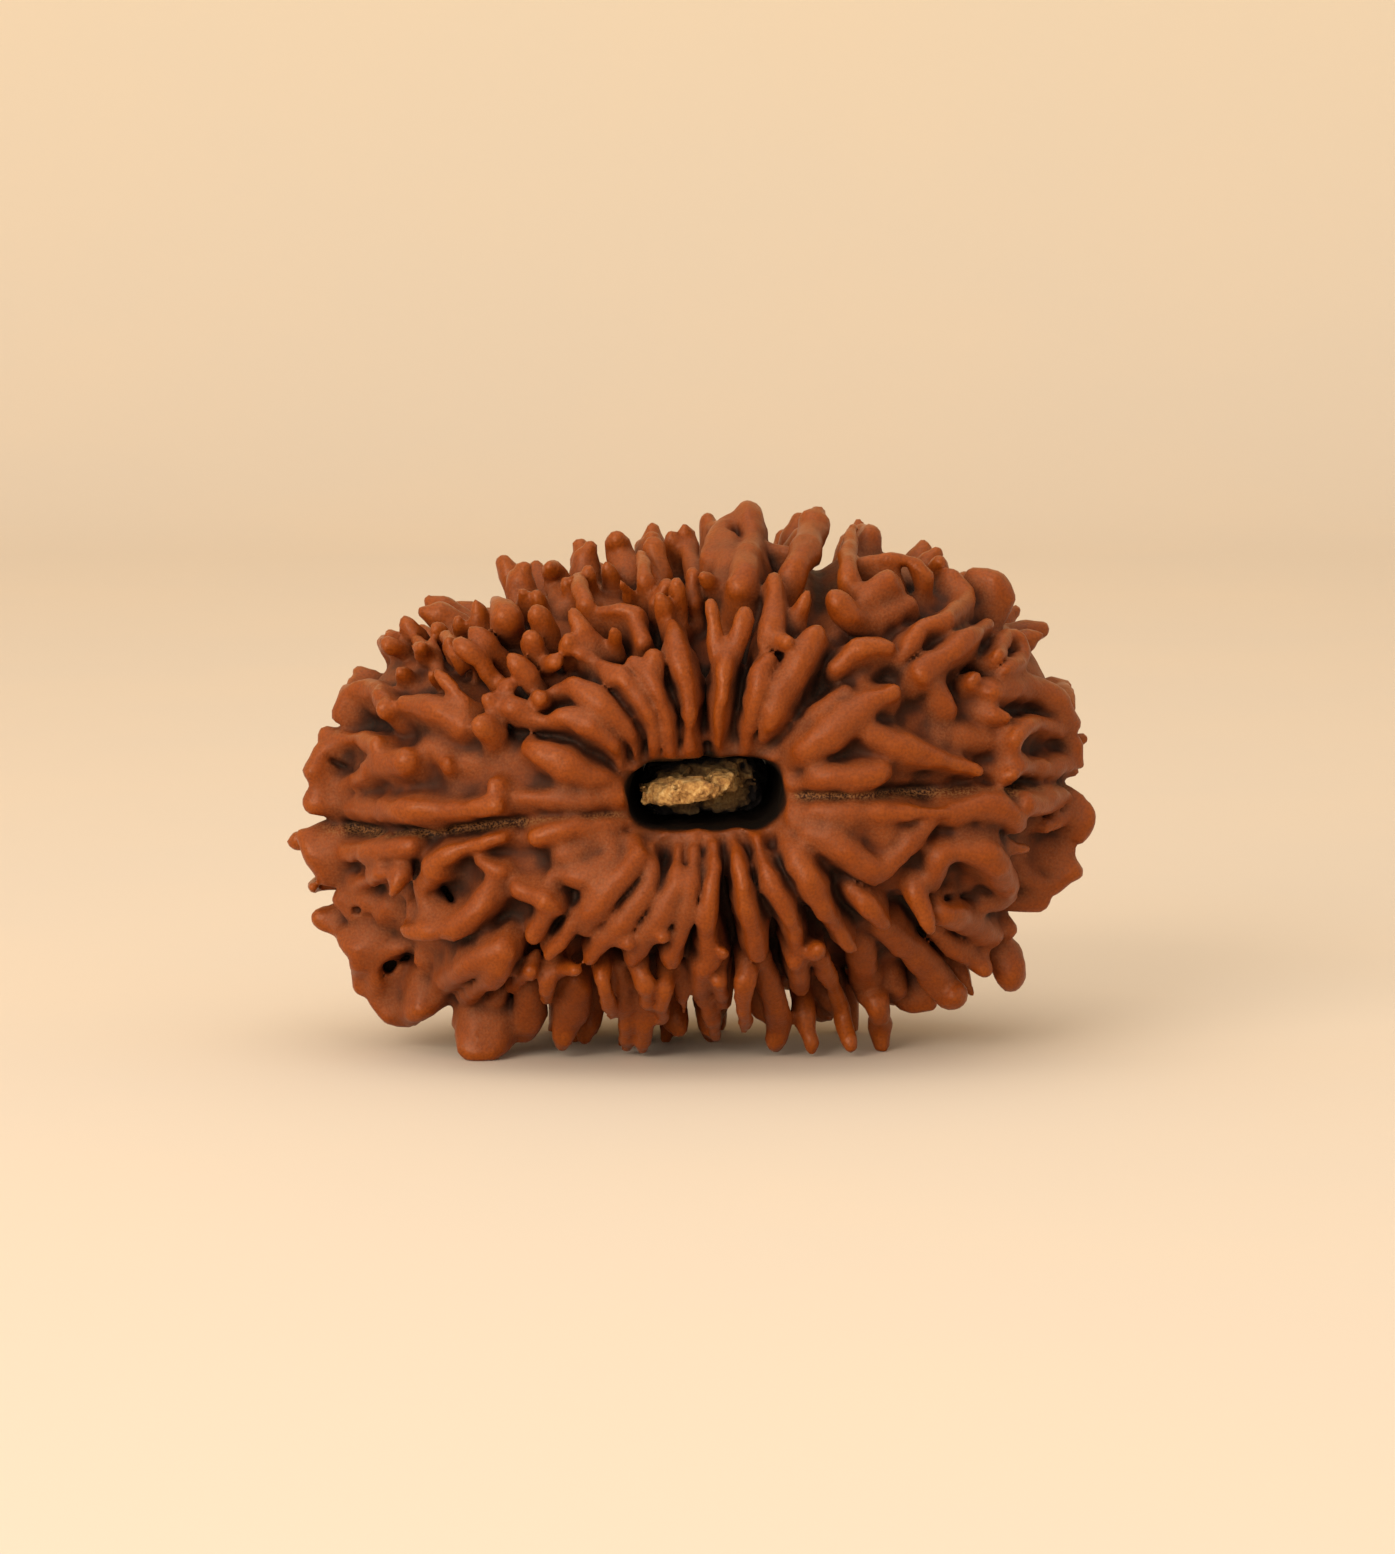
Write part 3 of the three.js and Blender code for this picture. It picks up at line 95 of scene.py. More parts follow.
# What stands on each lobe of the near side.
lobes = {
    'leftUpper': [
        blade([-3.8, -0.2, 0.3, 0.45], [-5.3, 0.2, 1.4, 0.8], [-6.9, 0.9, 1.9, 0.9],
            [-7.9, 1.4, 1.7, 0.7]),
        blade([-3.8, -1, 0.3, 0.35], [-5.5, -1.1, 1.1, 0.6], [-7.2, -1.1, 1.4, 0.6],
            [-8.4, -1, 1.5, 0.5]),
        finger([-8.8, -0.6, 0.6, 0.5], [-9.6, -0.3, 1.9, 0.42]),
        blade([-15.2, 0.6, 1.8, 0.7], [-14, 0.7, 2.2, 0.8], [-13.3, 0.6, 1.6, 0.6]),
        finger([-11.6, 0.3, 0.6, 0.6], [-11.9, 0.7, 1.9, 0.5]),
        blade([-18.1, -1.2, 2.5, 0.8], [-16.4, -1.5, 1, 0.65], [-14.1, -1.6, 2.3, 0.75],
            [-12.1, -1.7, 2, 0.6], [-9.6, -1.4, 2.2, 0.65]),
        blade([-18.2, 0.3, 2.6, 0.6], [-17.6, 1.3, 2.1, 0.5], [-16.4, 1.8, 1.4, 0.5],
            [-15.2, 1.5, 2.1, 0.5]),
        blade([-17.9, -0.4, 2.3, 0.55], [-16.6, -0.3, 1.1, 0.55], [-15.8, 0.2, 2, 0.5]),
        blade([-16.7, 3.1, 1.7, 0.7], [-16.3, 4, 1.8, 0.6], [-15.2, 4.1, 1.4, 0.55],
            [-14.7, 3.3, 2.3, 0.6]),
        blade([-10.7, 0.8, 1, 0.9], [-12.6, 1.5, 1.3, 0.9]),
    ],
    'gillOne': [
        blade([-3.6, 0.4, 0.3, 0.32], [-4, 1.5, 1.4, 0.5], [-5, 2.4, 1.9, 0.65], [-6.1, 2.9, 2, 0.62],
            [-7.1, 2.6, 1.6, 0.45], [-8.1, 3, 1.8, 0.5], [-8.8, 3.4, 2.2, 0.6]),
        finger([-8.8, 3.2, 1, 0.5], [-9.9, 3.7, 2.4, 0.38]),
        finger([-7.1, 3.3, 0.6, 0.45], [-7.5, 3.8, 2.2, 0.42]),
        finger([-9.3, 1.3, 0.5, 0.7], [-9.8, 2, 1.8, 0.62], [-10.3, 2.5, 2.6, 0.5]),
        blade([-13.8, 3.5, 2.1, 0.7], [-12.4, 3.3, 2.4, 0.95], [-11.2, 2.5, 2, 0.85]),
        finger([-10.2, 2.8, 0.6, 0.55], [-11.1, 3.6, 1.9, 0.5], [-12.3, 4.9, 2.7, 0.38]),
    ],
    'gillTwo': [
        blade([-2.9, 0.9, 0.3, 0.33], [-3.2, 2.1, 1.4, 0.45], [-4.1, 3.1, 2, 0.65],
            [-5, 3.8, 2.2, 0.72], [-5.9, 4.3, 2, 0.6], [-6.7, 4.1, 1.6, 0.42]),
        finger([-7.4, 3.9, 0.6, 0.6], [-8, 4.7, 1.8, 0.55], [-8.8, 5.7, 2.7, 0.36]),
        finger([-9.2, 4, 0.6, 0.6], [-10.2, 5.2, 1.8, 0.5], [-11.2, 6.4, 2.9, 0.38]),
        finger([-9.5, 4.5, 0.8, 0.45], [-8.9, 4.3, 2.1, 0.4]),
        finger([-10.8, 4.9, 0.6, 0.5], [-11.4, 5.8, 2, 0.45], [-11.9, 6.7, 1.7, 0.36]),
        finger([-12.3, 5, 0.8, 0.45], [-12.5, 6.4, 1.3, 0.3]),
        finger([-13.2, 5.6, 0.4, 0.55], [-14.6, 6.3, 2.1, 0.4]),
        finger([-13, 6, 0.4, 0.65], [-13.4, 6.8, 1.4, 0.55], [-13.8, 7.4, 2.1, 0.46]),
        finger([-12.8, 5.7, 1, 0.45], [-13.4, 6.7, 1.4, 0.33]),
        finger([-12, 4.2, 0.8, 0.5], [-12.6, 4.9, 2.3, 0.36]),
        finger([-13.5, 4.4, 0.8, 0.5], [-14.1, 5, 2.1, 0.36]),
        finger([-12.7, 5.5, 0.8, 0.45], [-13.1, 6.2, 2.5, 0.34]),
        finger([-11.3, 5.6, 0.8, 0.5], [-11.8, 6.5, 2.5, 0.36]),
        finger([-14.4, 3.5, 0.8, 0.5], [-15.1, 4, 2.3, 0.4]),
    ],
    'gillThree': [
        blade([-2.1, 1.1, 0.3, 0.33], [-2.1, 2.5, 1.5, 0.45], [-2.7, 3.7, 2.1, 0.62],
            [-3.4, 4.7, 2.3, 0.7], [-4.2, 5.1, 2.1, 0.6], [-4.8, 5.5, 1.8, 0.48],
            [-5.4, 5.9, 1.9, 0.45]),
        finger([-6, 5.4, 0.6, 0.5], [-6.2, 6.6, 2.5, 0.4]),
        finger([-7.3, 5.1, 0.6, 0.55], [-7.9, 6.6, 2.6, 0.4]),
        finger([-7.2, 5.1, 0.8, 0.4], [-6.8, 5.5, 2, 0.4]),
        finger([-7, 6.1, 0.6, 0.55], [-7.3, 7.3, 1.9, 0.48], [-7.6, 8, 2.8, 0.32]),
        finger([-9.2, 5.4, 0.5, 0.65], [-10, 6.3, 1.9, 0.6], [-10.6, 7, 2.6, 0.42]),
        finger([-10.2, 6.8, 0.4, 0.7], [-10.5, 8.2, 1.9, 0.48]),
        finger([-8.9, 6.6, 0.4, 0.8], [-9.2, 7.7, 2.3, 0.68], [-9.5, 8.3, 1.9, 0.48]),
        finger([-11.1, 6.7, 0.6, 0.5], [-11.3, 7.5, 1.6, 0.42]),
        finger([-11.9, 6.4, 0.6, 0.5], [-12.3, 7, 1.5, 0.38]),
        finger([-8, 7.7, 0.5, 0.55], [-8.3, 8.7, 1.9, 0.38]),
        finger([-7.4, 7.7, 0.6, 0.45], [-7.6, 8.6, 1.7, 0.33]),
    ],
    'gillFour': [
        blade([-1.3, 1.1, 0.3, 0.32], [-1.4, 2.5, 1.5, 0.42], [-1.8, 3.7, 2.1, 0.55],
            [-2.4, 4.8, 2.3, 0.65], [-3, 5.5, 2.2, 0.48]),
        blade([-2, 4.4, 1.8, 0.5], [-2.1, 5.7, 2.3, 0.48]),
        finger([-4.4, 5.4, 0.6, 0.65], [-5.2, 6.6, 1.9, 0.62], [-5.9, 7.9, 2.8, 0.3]),
        finger([-3.8, 5.7, 0.6, 0.5], [-4, 7.1, 2.7, 0.25]),
        finger([-4.7, 6.8, 0.5, 0.55], [-5.3, 8.3, 2, 0.5], [-5.7, 9.5, 1.8, 0.36]),
        finger([-6.3, 8, 0.4, 0.65], [-6.7, 9.3, 1.1, 0.58], [-7, 10, 2.3, 0.46]),
        finger([-6, 8.3, 0.6, 0.5], [-6.2, 9.3, 1.7, 0.33]),
        finger([-5, 8.7, 0.6, 0.5], [-5.2, 9.8, 1.9, 0.38]),
        blade([-4.5, 7.9, 1.8, 0.5], [-3.7, 8, 2, 0.55], [-2.9, 7.8, 1.8, 0.5]),
        finger([-2.9, 8.1, 0.6, 0.45], [-3.6, 9.2, 2.6, 0.26]),
        blade([-3, 7.4, 1.5, 0.5], [-2.6, 6.5, 1.5, 0.6]),
        finger([-3.3, 9.4, 0.4, 0.7], [-3.7, 10.6, 1.4, 0.62], [-3.8, 11.3, 2.2, 0.46]),
        finger([-4, 9.2, 0.6, 0.55], [-4.3, 10.1, 1.7, 0.42]),
    ],
    'gillFive': [
        blade([-0.4, 1.4, 0.3, 0.33], [-0.4, 3.3, 1.6, 0.45], [-0.7, 5, 2.2, 0.6], [-1, 6.5, 2.3, 0.65],
            [-1.2, 7.3, 2, 0.5]),
        finger([-1.3, 7, 1, 0.5], [-1.8, 8.5, 2.8, 0.33]),
        finger([-0.8, 7.3, 0.8, 0.45], [-1, 9.2, 2.9, 0.3]),
        finger([-2.2, 8.1, 0.6, 0.5], [-2.5, 9.5, 2.2, 0.42], [-2.7, 10.6, 1.9, 0.3]),
        finger([-1.7, 9.4, 0.5, 0.55], [-2.1, 11.1, 2, 0.42]),
        finger([-0.9, 10, 0.4, 0.6], [-1.2, 11.4, 1.9, 0.42]),
        blade([-2, 8.3, 1.5, 0.5], [-1.5, 9.1, 2, 0.45]),
    ],
    'gillSix': [
        blade([0.9, 1.5, 0.3, 0.33], [1, 3.1, 1.6, 0.45], [1.2, 4.6, 2.2, 0.6], [1.3, 5.8, 2.1, 0.62]),
        finger([1.1, 5.3, 1.6, 0.48], [0.8, 6.9, 2.4, 0.42], [0.6, 8.2, 3, 0.34]),
        finger([1.4, 5.4, 1.6, 0.5], [1.9, 6.7, 2.4, 0.46], [2.2, 7.8, 2.9, 0.4]),
        finger([0, 9.4, 0.4, 0.6], [-0.4, 10.8, 1.2, 0.48], [-0.6, 11.8, 2.2, 0.28]),
        blade([-0.2, 8.3, 1.4, 0.5], [-0.2, 9.7, 2.2, 0.55]),
        finger([0.9, 8.7, 1, 0.6], [0.3, 9.6, 2.8, 0.4]),
        blade([1.9, 8.4, 1.8, 0.85], [2.1, 9.5, 2.6, 0.85], [2.6, 11.1, 2, 0.75],
            [2.4, 12.4, 2.6, 0.8]),
        blade([0.6, 10.2, 1.6, 0.75], [1.1, 11.4, 1.9, 0.85], [2, 12.1, 2.3, 0.8]),
        blade([1.3, 9, 1.5, 1], [1.5, 10.9, 1.7, 1]),
    ],
    'gillSeven': [
        blade([2.3, 1.7, 0.3, 0.33], [2.6, 3.3, 1.6, 0.52], [2.9, 4.8, 2.2, 0.68],
            [3.4, 5.7, 2.4, 0.55]),
        blade([2.9, 5.4, 1.8, 0.45], [3.5, 6.9, 2.4, 0.72], [3.7, 8.3, 2.6, 0.65],
            [3.7, 9.3, 2.8, 0.55]),
        finger([3.6, 6.4, 1.6, 0.5], [4.2, 6.4, 2.9, 0.42]),
        finger([4.5, 6.7, 1.2, 0.55], [4.8, 7.9, 2.3, 0.45], [5.2, 8.7, 3, 0.33]),
        finger([4, 8.3, 1, 0.75], [4.7, 10, 2.4, 0.75], [5.4, 11.3, 1.9, 0.75], [5.7, 12.4, 2.6, 0.68]),
        blade([3.2, 10.9, 1.5, 0.55], [4.2, 10.6, 1.4, 0.6]),
    ],
    'gillEight': [
        blade([3.2, 2, 0.6, 0.42], [3.7, 3.1, 1.6, 0.75], [4.6, 5.3, 2.3, 1], [5.5, 6.7, 2.7, 0.72]),
        blade([6.6, 5.2, 1.9, 0.6], [7.4, 6, 2.4, 0.7], [8.4, 6.3, 2.6, 0.65], [9.1, 6.2, 2.7, 0.5]),
        blade([4.3, 1.4, 0.6, 0.4], [5.5, 2.9, 1.5, 0.65], [7, 4.1, 1.8, 0.5]),
        finger([8.2, 6.9, 0.6, 0.75], [7.3, 7.8, 2, 0.7], [6.5, 8.6, 2.9, 0.46]),
        finger([7.4, 8.1, 0.8, 0.6], [7.1, 9.8, 2.4, 0.52], [7.2, 10.9, 1.8, 0.46],
            [7.3, 11.7, 2.1, 0.36]),
        blade([7.7, 10.1, 1.8, 0.5], [8.8, 10.4, 2.3, 0.5], [10.1, 10.1, 2.3, 0.55],
            [10.8, 9.5, 2, 0.5]),
        blade([8, 8.7, 2.2, 0.8], [9.2, 9.4, 2.7, 0.8]),
        finger([11.2, 9, 0.5, 0.55], [11.4, 10.2, 2.1, 0.42]),
        blade([12, 9.4, 1.8, 0.7], [12.7, 8.4, 1.7, 0.75], [11.7, 7.5, 2.8, 0.6],
            [10.7, 7.2, 2.8, 0.62], [10, 6.2, 2.6, 0.62], [9.7, 5.7, 2.2, 0.45]),
        blade([8.4, 7.5, 1.6, 0.8], [10, 8.2, 1.8, 0.8]),
        blade([13.1, 9.4, 1.9, 0.6], [14, 9.2, 2.3, 0.8], [14.5, 8.5, 2.1, 0.65]),
        blade([6.5, 3.6, 1, 0.9], [8.1, 5.1, 1.2, 0.9]),
    ],
    'rightUpper': [
        blade([4.6, -0.5, 0.5, 0.5], [6, 0, 1.6, 0.75], [7.7, 0, 1.9, 0.8], [8.7, 0.2, 2.1, 0.72]),
        blade([4.7, 0.7, 0.6, 0.6], [5.4, 1.5, 1.6, 0.9], [6.5, 2.3, 2.2, 1.05], [7.8, 3.3, 2.4, 0.85],
            [9.3, 4.1, 2.7, 0.58]),
        blade([7.8, 2.5, 2, 0.75], [9.6, 1.5, 2.2, 0.85], [11.2, 0.9, 2.2, 0.72],
            [13.2, 0.3, 2.3, 0.42]),
        blade([13.8, 7.3, 2.1, 0.5], [12.9, 6.6, 3, 0.55], [11.7, 5.8, 2.8, 0.65],
            [10.6, 5.1, 2.7, 0.75]),
        blade([11.1, 4.6, 2, 0.8], [11.7, 3.3, 1.8, 0.8]),
        finger([12.3, 3.9, 0.8, 0.6], [13.2, 4.7, 2.5, 0.48]),
        blade([14.2, 5.7, 2.8, 0.55], [14.7, 6.7, 2, 0.55], [15.4, 6.5, 2.2, 0.5], [15.4, 5.7, 2, 0.55],
            [14.6, 5.1, 2.8, 0.45]),
        finger([13.1, 3.1, 1, 0.62], [14, 3, 2.2, 0.55], [14.9, 2.8, 2.7, 0.33]),
        blade([14, 4.1, 2.4, 0.8], [15.7, 4.3, 1.8, 0.85], [17, 3.7, 2.1, 0.8], [17.6, 2.6, 2.1, 0.72]),
        blade([14.9, 1.1, 2.4, 0.6], [15.3, 2.1, 2.8, 0.6], [16.2, 2.6, 1.9, 0.5],
            [17.1, 2.2, 1.8, 0.45]),
        blade([15.2, 0.6, 2.4, 0.6], [16.4, 0.4, 1.6, 0.62], [17.6, 0.7, 1.9, 0.55]),
        blade([17.4, 1.8, 1.8, 0.5], [17.9, 1.5, 2.2, 0.5], [18, 0.7, 2.2, 0.5]),
        finger([13.7, 0.1, 1, 0.5], [14.9, 0.1, 2.6, 0.3]),
        blade([11.4, 2, 1.2, 1], [13.6, 1.7, 1.5, 0.9]),
    ],
    'rightLower': [
        blade([4.6, -1.4, 0.5, 0.6], [6.5, -1.8, 1.5, 0.75], [9.1, -1.7, 2, 0.6],
            [11.6, -1.7, 2.4, 0.35]),
        blade([4.7, -2, 0.6, 0.7], [6.5, -3.2, 1.8, 1.1], [8, -4.3, 2.2, 0.95], [8.4, -4.9, 2, 0.5]),
        blade([11.2, -2, 2, 0.5], [9.8, -3.4, 2, 0.72], [8.7, -4.5, 2, 0.6]),
        blade([7, -2.5, 1.2, 1.2], [9.1, -2.7, 1.5, 1.2]),
        blade([12.1, -1.7, 2.2, 0.75], [13.8, -1.5, 2.6, 0.8], [14.8, -1.7, 2.8, 0.7],
            [15.2, -2.3, 2.6, 0.55]),
        blade([12.8, -2.7, 2, 0.7], [13.9, -3, 2.2, 0.55]),
        blade([15.7, -1.3, 2.8, 0.6], [16.7, -1.1, 1.9, 0.7], [17.5, -1, 1.9, 0.6],
            [17.2, -1.9, 1.8, 0.6], [16.5, -2.4, 1.6, 0.5]),
        blade([18.1, -1, 2.3, 0.5], [18.5, -1.7, 2.8, 0.5], [18, -2.7, 2.5, 0.5]),
        finger([14, -3.2, 1.4, 0.5], [15.6, -3.4, 1.8, 0.33]),
        finger([16.2, -3.1, 1, 0.55], [17.6, -3.4, 2.3, 0.48]),
        blade([15.3, -4.7, 1.2, 0.7], [16.6, -5.1, 2.2, 0.8], [17.7, -4.4, 2.8, 0.7]),
        blade([14.7, -5.8, 1.2, 0.7], [16.2, -5.9, 2.3, 0.6]),
        blade([11.2, -5, 1.8, 0.9], [11.7, -3.9, 2.2, 0.8], [12.9, -3.6, 2.5, 0.8],
            [14.3, -4.3, 2.8, 0.9], [14.6, -5.6, 1.6, 0.8], [13.6, -5.9, 1.5, 0.8]),
        blade([11.7, -6.5, 2.3, 0.8], [12.9, -7, 1.7, 0.95], [13.8, -7.6, 1.9, 0.75]),
        finger([10.1, -4.4, 1, 0.62], [10.5, -5.8, 2.2, 0.55], [11, -7.2, 2.9, 0.36]),
        blade([11.4, -7.5, 1.1, 0.6], [12.9, -8.5, 2.1, 0.75], [13.6, -9.2, 3, 0.6]),
        finger([13.6, -7.6, 0.8, 0.8], [14.6, -8.7, 3, 0.88], [14.8, -9.6, 3.3, 0.78]),
    ],
    'gillNine': [
        blade([4, -2.7, 0.3, 0.42], [4.7, -4, 1.6, 0.6], [5.4, -5, 2.2, 0.85], [5.9, -6.1, 2.2, 0.72],
            [6.6, -7.1, 1.8, 0.55], [7.3, -8.2, 1.9, 0.5]),
        finger([7.7, -7.9, 0.6, 0.75], [8, -9.6, 1, 0.8], [8.5, -11, 2.5, 0.62],
            [8.8, -12.9, 3.9, 0.42]),
        blade([7.4, -5.5, 1.9, 0.6], [8.1, -6.2, 2.3, 0.75], [8.8, -7, 2.2, 0.55]),
        finger([8.8, -7.1, 0.8, 0.75], [10.3, -8.4, 1.2, 0.72], [11.5, -9.7, 2.4, 0.8],
            [12.2, -10.5, 3.4, 0.78]),
        finger([12.3, -9.2, 1.2, 0.45], [13.1, -10.4, 3.4, 0.28]),
        blade([9.2, -9.3, 1.1, 0.8], [9.8, -10.7, 2.4, 0.6], [10.9, -10.7, 2.6, 0.45]),
    ],
    'gillTen': [
        blade([2.8, -3, 0.3, 0.35], [3.2, -4.3, 1.6, 0.5], [3.8, -5.8, 2.2, 0.66], [4.5, -7, 2.2, 0.6],
            [4.7, -8.2, 2, 0.5]),
        finger([5.1, -8.3, 1, 0.55], [5.7, -8.3, 2.6, 0.42]),
        blade([4.7, -8.7, 2, 0.55], [4.9, -10, 1.2, 0.65]),
        finger([4.9, -9.8, 0.4, 0.65], [5.1, -11.2, 1.9, 0.52], [5.4, -13, 3.7, 0.36]),
        finger([5.8, -8.7, 1.2, 0.48], [6.6, -10.5, 1.6, 0.48], [7.2, -12.7, 3.8, 0.38]),
    ],
    'gillEleven': [
        blade([1.7, -3.2, 0.3, 0.33], [2, -4.4, 1.6, 0.45], [2.2, -5.8, 2.2, 0.6],
            [2.6, -7.2, 2.2, 0.66], [2.8, -8.5, 2, 0.58]),
        finger([2.4, -8.5, 1, 0.55], [2.2, -10, 2.4, 0.48], [2.2, -11.9, 2.3, 0.36]),
        finger([3, -8.6, 1, 0.6], [3.4, -10, 1.4, 0.56], [3.8, -11.5, 2.1, 0.6], [3.7, -12.6, 3, 0.45]),
    ],
    'gillTwelve': [
        blade([0.8, -3.3, 0.3, 0.33], [0.8, -4.8, 1.6, 0.42], [0.6, -6.3, 2.2, 0.5],
            [0.5, -7.8, 2.2, 0.55], [0.6, -8.9, 2.2, 0.7]),
        finger([0.7, -8.3, 1.2, 0.45], [1.3, -8.4, 2.7, 0.36]),
        blade([0.3, -9.2, 2.2, 0.68], [0.2, -10.5, 1.5, 0.7]),
        blade([1, -9.8, 2.4, 0.55], [1.3, -10.8, 1.6, 0.48]),
        finger([0.4, -10.3, 1.4, 0.6], [0.9, -12.3, 2.3, 0.4]),
    ],
    'gillThirteen': [
        blade([-0.2, -3.5, 0.3, 0.3], [-0.2, -4.8, 1.5, 0.38], [-0.4, -5.9, 2, 0.42],
            [-0.7, -7.1, 2.1, 0.42], [-1, -8.2, 2.3, 0.56], [-1.2, -8.8, 2, 0.5]),
        finger([-1.4, -9.2, 1, 0.55], [-1.6, -10.5, 2.4, 0.44], [-1.7, -11.6, 1.8, 0.33]),
        finger([-0.9, -9.3, 1, 0.5], [-0.6, -11.1, 1.8, 0.36]),
    ],
    'gillFourteen': [
        blade([-0.9, -3.5, 0.3, 0.33], [-1, -4.9, 1.5, 0.42], [-1.4, -6, 2.1, 0.56],
            [-2, -7.1, 2.3, 0.66], [-2.7, -8.1, 2.2, 0.6], [-3.1, -8.8, 2, 0.48]),
        finger([-2.1, -7.4, 1.4, 0.5], [-1.6, -7.7, 2.7, 0.4]),
        finger([-2.9, -8.7, 1.2, 0.55], [-2.5, -10, 2.4, 0.5], [-2.1, -11.1, 1.8, 0.36]),
        finger([-2.8, -9.8, 1, 0.6], [-2.5, -11.2, 1.7, 0.52], [-2.6, -12.9, 2.7, 0.4]),
    ],
    'gillFifteen': [
        blade([-2.2, -3.3, 0.3, 0.33], [-2.2, -4.8, 1.5, 0.42], [-2.7, -5.9, 2.1, 0.5],
            [-3.4, -6.8, 2.3, 0.56], [-4.3, -7.7, 2.3, 0.62], [-5.1, -8.6, 2, 0.48]),
        finger([-3.9, -7.4, 1.4, 0.5], [-3.3, -8, 2.7, 0.38]),
        finger([-4.6, -8.7, 1, 0.5], [-4.4, -10, 2.4, 0.42], [-4, -11.3, 1.9, 0.3]),
        finger([-3.7, -9.2, 1, 0.55], [-3.4, -11, 1.7, 0.5], [-3.3, -12.7, 2.4, 0.36]),
    ],
    'gillSixteen': [
        blade([-3, -2.9, 0.3, 0.36], [-2.9, -3.9, 1.4, 0.46], [-3.6, -4.8, 2, 0.62],
            [-4.4, -5.5, 2.3, 0.78], [-5, -6.4, 2.3, 0.8], [-5.4, -7.3, 2, 0.55]),
        blade([-5.7, -6.6, 2.2, 0.5], [-6.4, -7.9, 2.4, 0.5], [-7, -8.5, 2.4, 0.45]),
        finger([-6.5, -9, 1, 0.5], [-5.8, -9.2, 2.6, 0.42]),
        finger([-6.8, -8.7, 1, 0.5], [-7.1, -9.8, 2.2, 0.44], [-7.1, -10.6, 1.7, 0.32]),
        finger([-5.8, -9.7, 0.8, 0.8], [-5.9, -11, 1.4, 0.82], [-6.4, -12.6, 2.6, 0.5]),
        finger([-7.9, -9.7, 0.8, 0.55], [-8, -11.2, 1.6, 0.78], [-8.1, -12.3, 2.4, 0.48]),
    ],
    'leftLower': [
        blade([-3.7, -2.2, 0.3, 0.4], [-5.3, -2.4, 1.3, 0.6], [-6.7, -2.6, 1.8, 0.66],
            [-7.7, -2.9, 2, 0.6]),
        blade([-3.7, -3.2, 0.5, 0.5], [-4.5, -4.2, 1.6, 0.8], [-5.5, -4.8, 2, 0.62],
            [-6.8, -4.8, 1.8, 0.5]),
        blade([-4.6, -3.2, 1, 1], [-6.2, -3.8, 1.4, 1]),
        blade([-10.4, -4, 1.9, 0.5], [-9.4, -4.5, 2.1, 0.45]),
        blade([-12.6, -4.3, 2.3, 0.75], [-11.8, -3.7, 2.2, 0.62], [-10.5, -3.3, 2.1, 0.5],
            [-9.4, -2.9, 2, 0.45]),
        blade([-16.9, -3.6, 1.6, 0.62], [-15.2, -3.5, 2.3, 0.55], [-13.6, -3.3, 2.1, 0.45]),
        blade([-18.5, -2.9, 3, 0.6], [-18.2, -3.7, 2.9, 0.85], [-17.6, -4.7, 2.5, 0.6]),
        finger([-17.7, -2.9, 1.5, 0.55], [-19.1, -3.1, 3.3, 0.38]),
        finger([-17.5, -4.9, 1.5, 0.5], [-18.2, -5.2, 3.2, 0.33]),
        blade([-16.8, -5.8, 2.1, 0.6], [-16, -5.1, 1.4, 0.55], [-15, -4.6, 2.4, 0.45]),
        blade([-16.4, -6.4, 2, 0.6], [-15.4, -5.8, 1.3, 0.35]),
        finger([-13.8, -3.9, 1, 0.55], [-14.2, -4.7, 2.4, 0.44], [-14.5, -5.5, 2.8, 0.33]),
        finger([-14.6, -6.2, 1, 0.45], [-15, -6.5, 1.3, 0.36]),
        finger([-16.9, -6.7, 1, 0.75], [-17.8, -6.7, 3.2, 0.62]),
        blade([-17, -6.8, 2.4, 0.7], [-16.2, -7.9, 2.6, 0.85], [-15, -8.3, 2, 0.72],
            [-13.8, -8.1, 1.2, 0.55]),
        blade([-13.6, -7.2, 2.7, 0.7], [-12.4, -7.4, 2.9, 0.72], [-11.1, -6.9, 2.7, 0.78],
            [-10.2, -6, 2.3, 0.8], [-9.7, -5, 2, 0.55]),
        blade([-12.8, -6.6, 2.2, 0.6], [-13.1, -5.4, 2, 0.5], [-12.1, -4.6, 2, 0.45]),
        blade([-8.4, -5.5, 2.2, 0.6], [-7.3, -6, 2.7, 0.8], [-6.6, -6.4, 2.5, 0.45]),
        blade([-7.2, -6.5, 2.5, 0.7], [-7.7, -7.5, 2.4, 0.55]),
        blade([-12.1, -9.8, 1.6, 0.8], [-11, -9.2, 3, 0.8], [-9.8, -8.5, 2.9, 0.7],
            [-9.2, -7.9, 2.5, 0.45]),
        blade([-9.1, -8.4, 2.8, 0.55], [-9.8, -9.6, 3, 0.7], [-11, -10.4, 1.8, 0.6]),
        blade([-15.1, -9, 2.5, 0.5], [-15.1, -9.9, 3, 0.7], [-14.4, -11.1, 3.3, 0.9],
            [-13.1, -11, 2.9, 0.8], [-12.2, -10.3, 1.8, 0.6]),
        blade([-13.8, -8.2, 1.2, 0.5], [-12.9, -8.7, 1.2, 0.6], [-12.6, -9.6, 1.5, 0.5]),
        blade([-15.9, -8.8, 2.9, 0.6], [-15.8, -9.8, 3.1, 0.58]),
        blade([-11.3, -11.7, 2.7, 0.48], [-10.6, -10.9, 1.8, 0.5], [-9.4, -10.6, 1.6, 0.45]),
        blade([-9.3, -11.2, 1.8, 0.6], [-9.1, -12.4, 2.8, 0.55], [-9.8, -13, 3.7, 0.55],
            [-10.9, -12.9, 3.9, 0.5], [-11.2, -11.9, 2.9, 0.45]),
        blade([-8.8, -10, 1.2, 0.45], [-7.9, -9.2, 2.3, 0.35]),
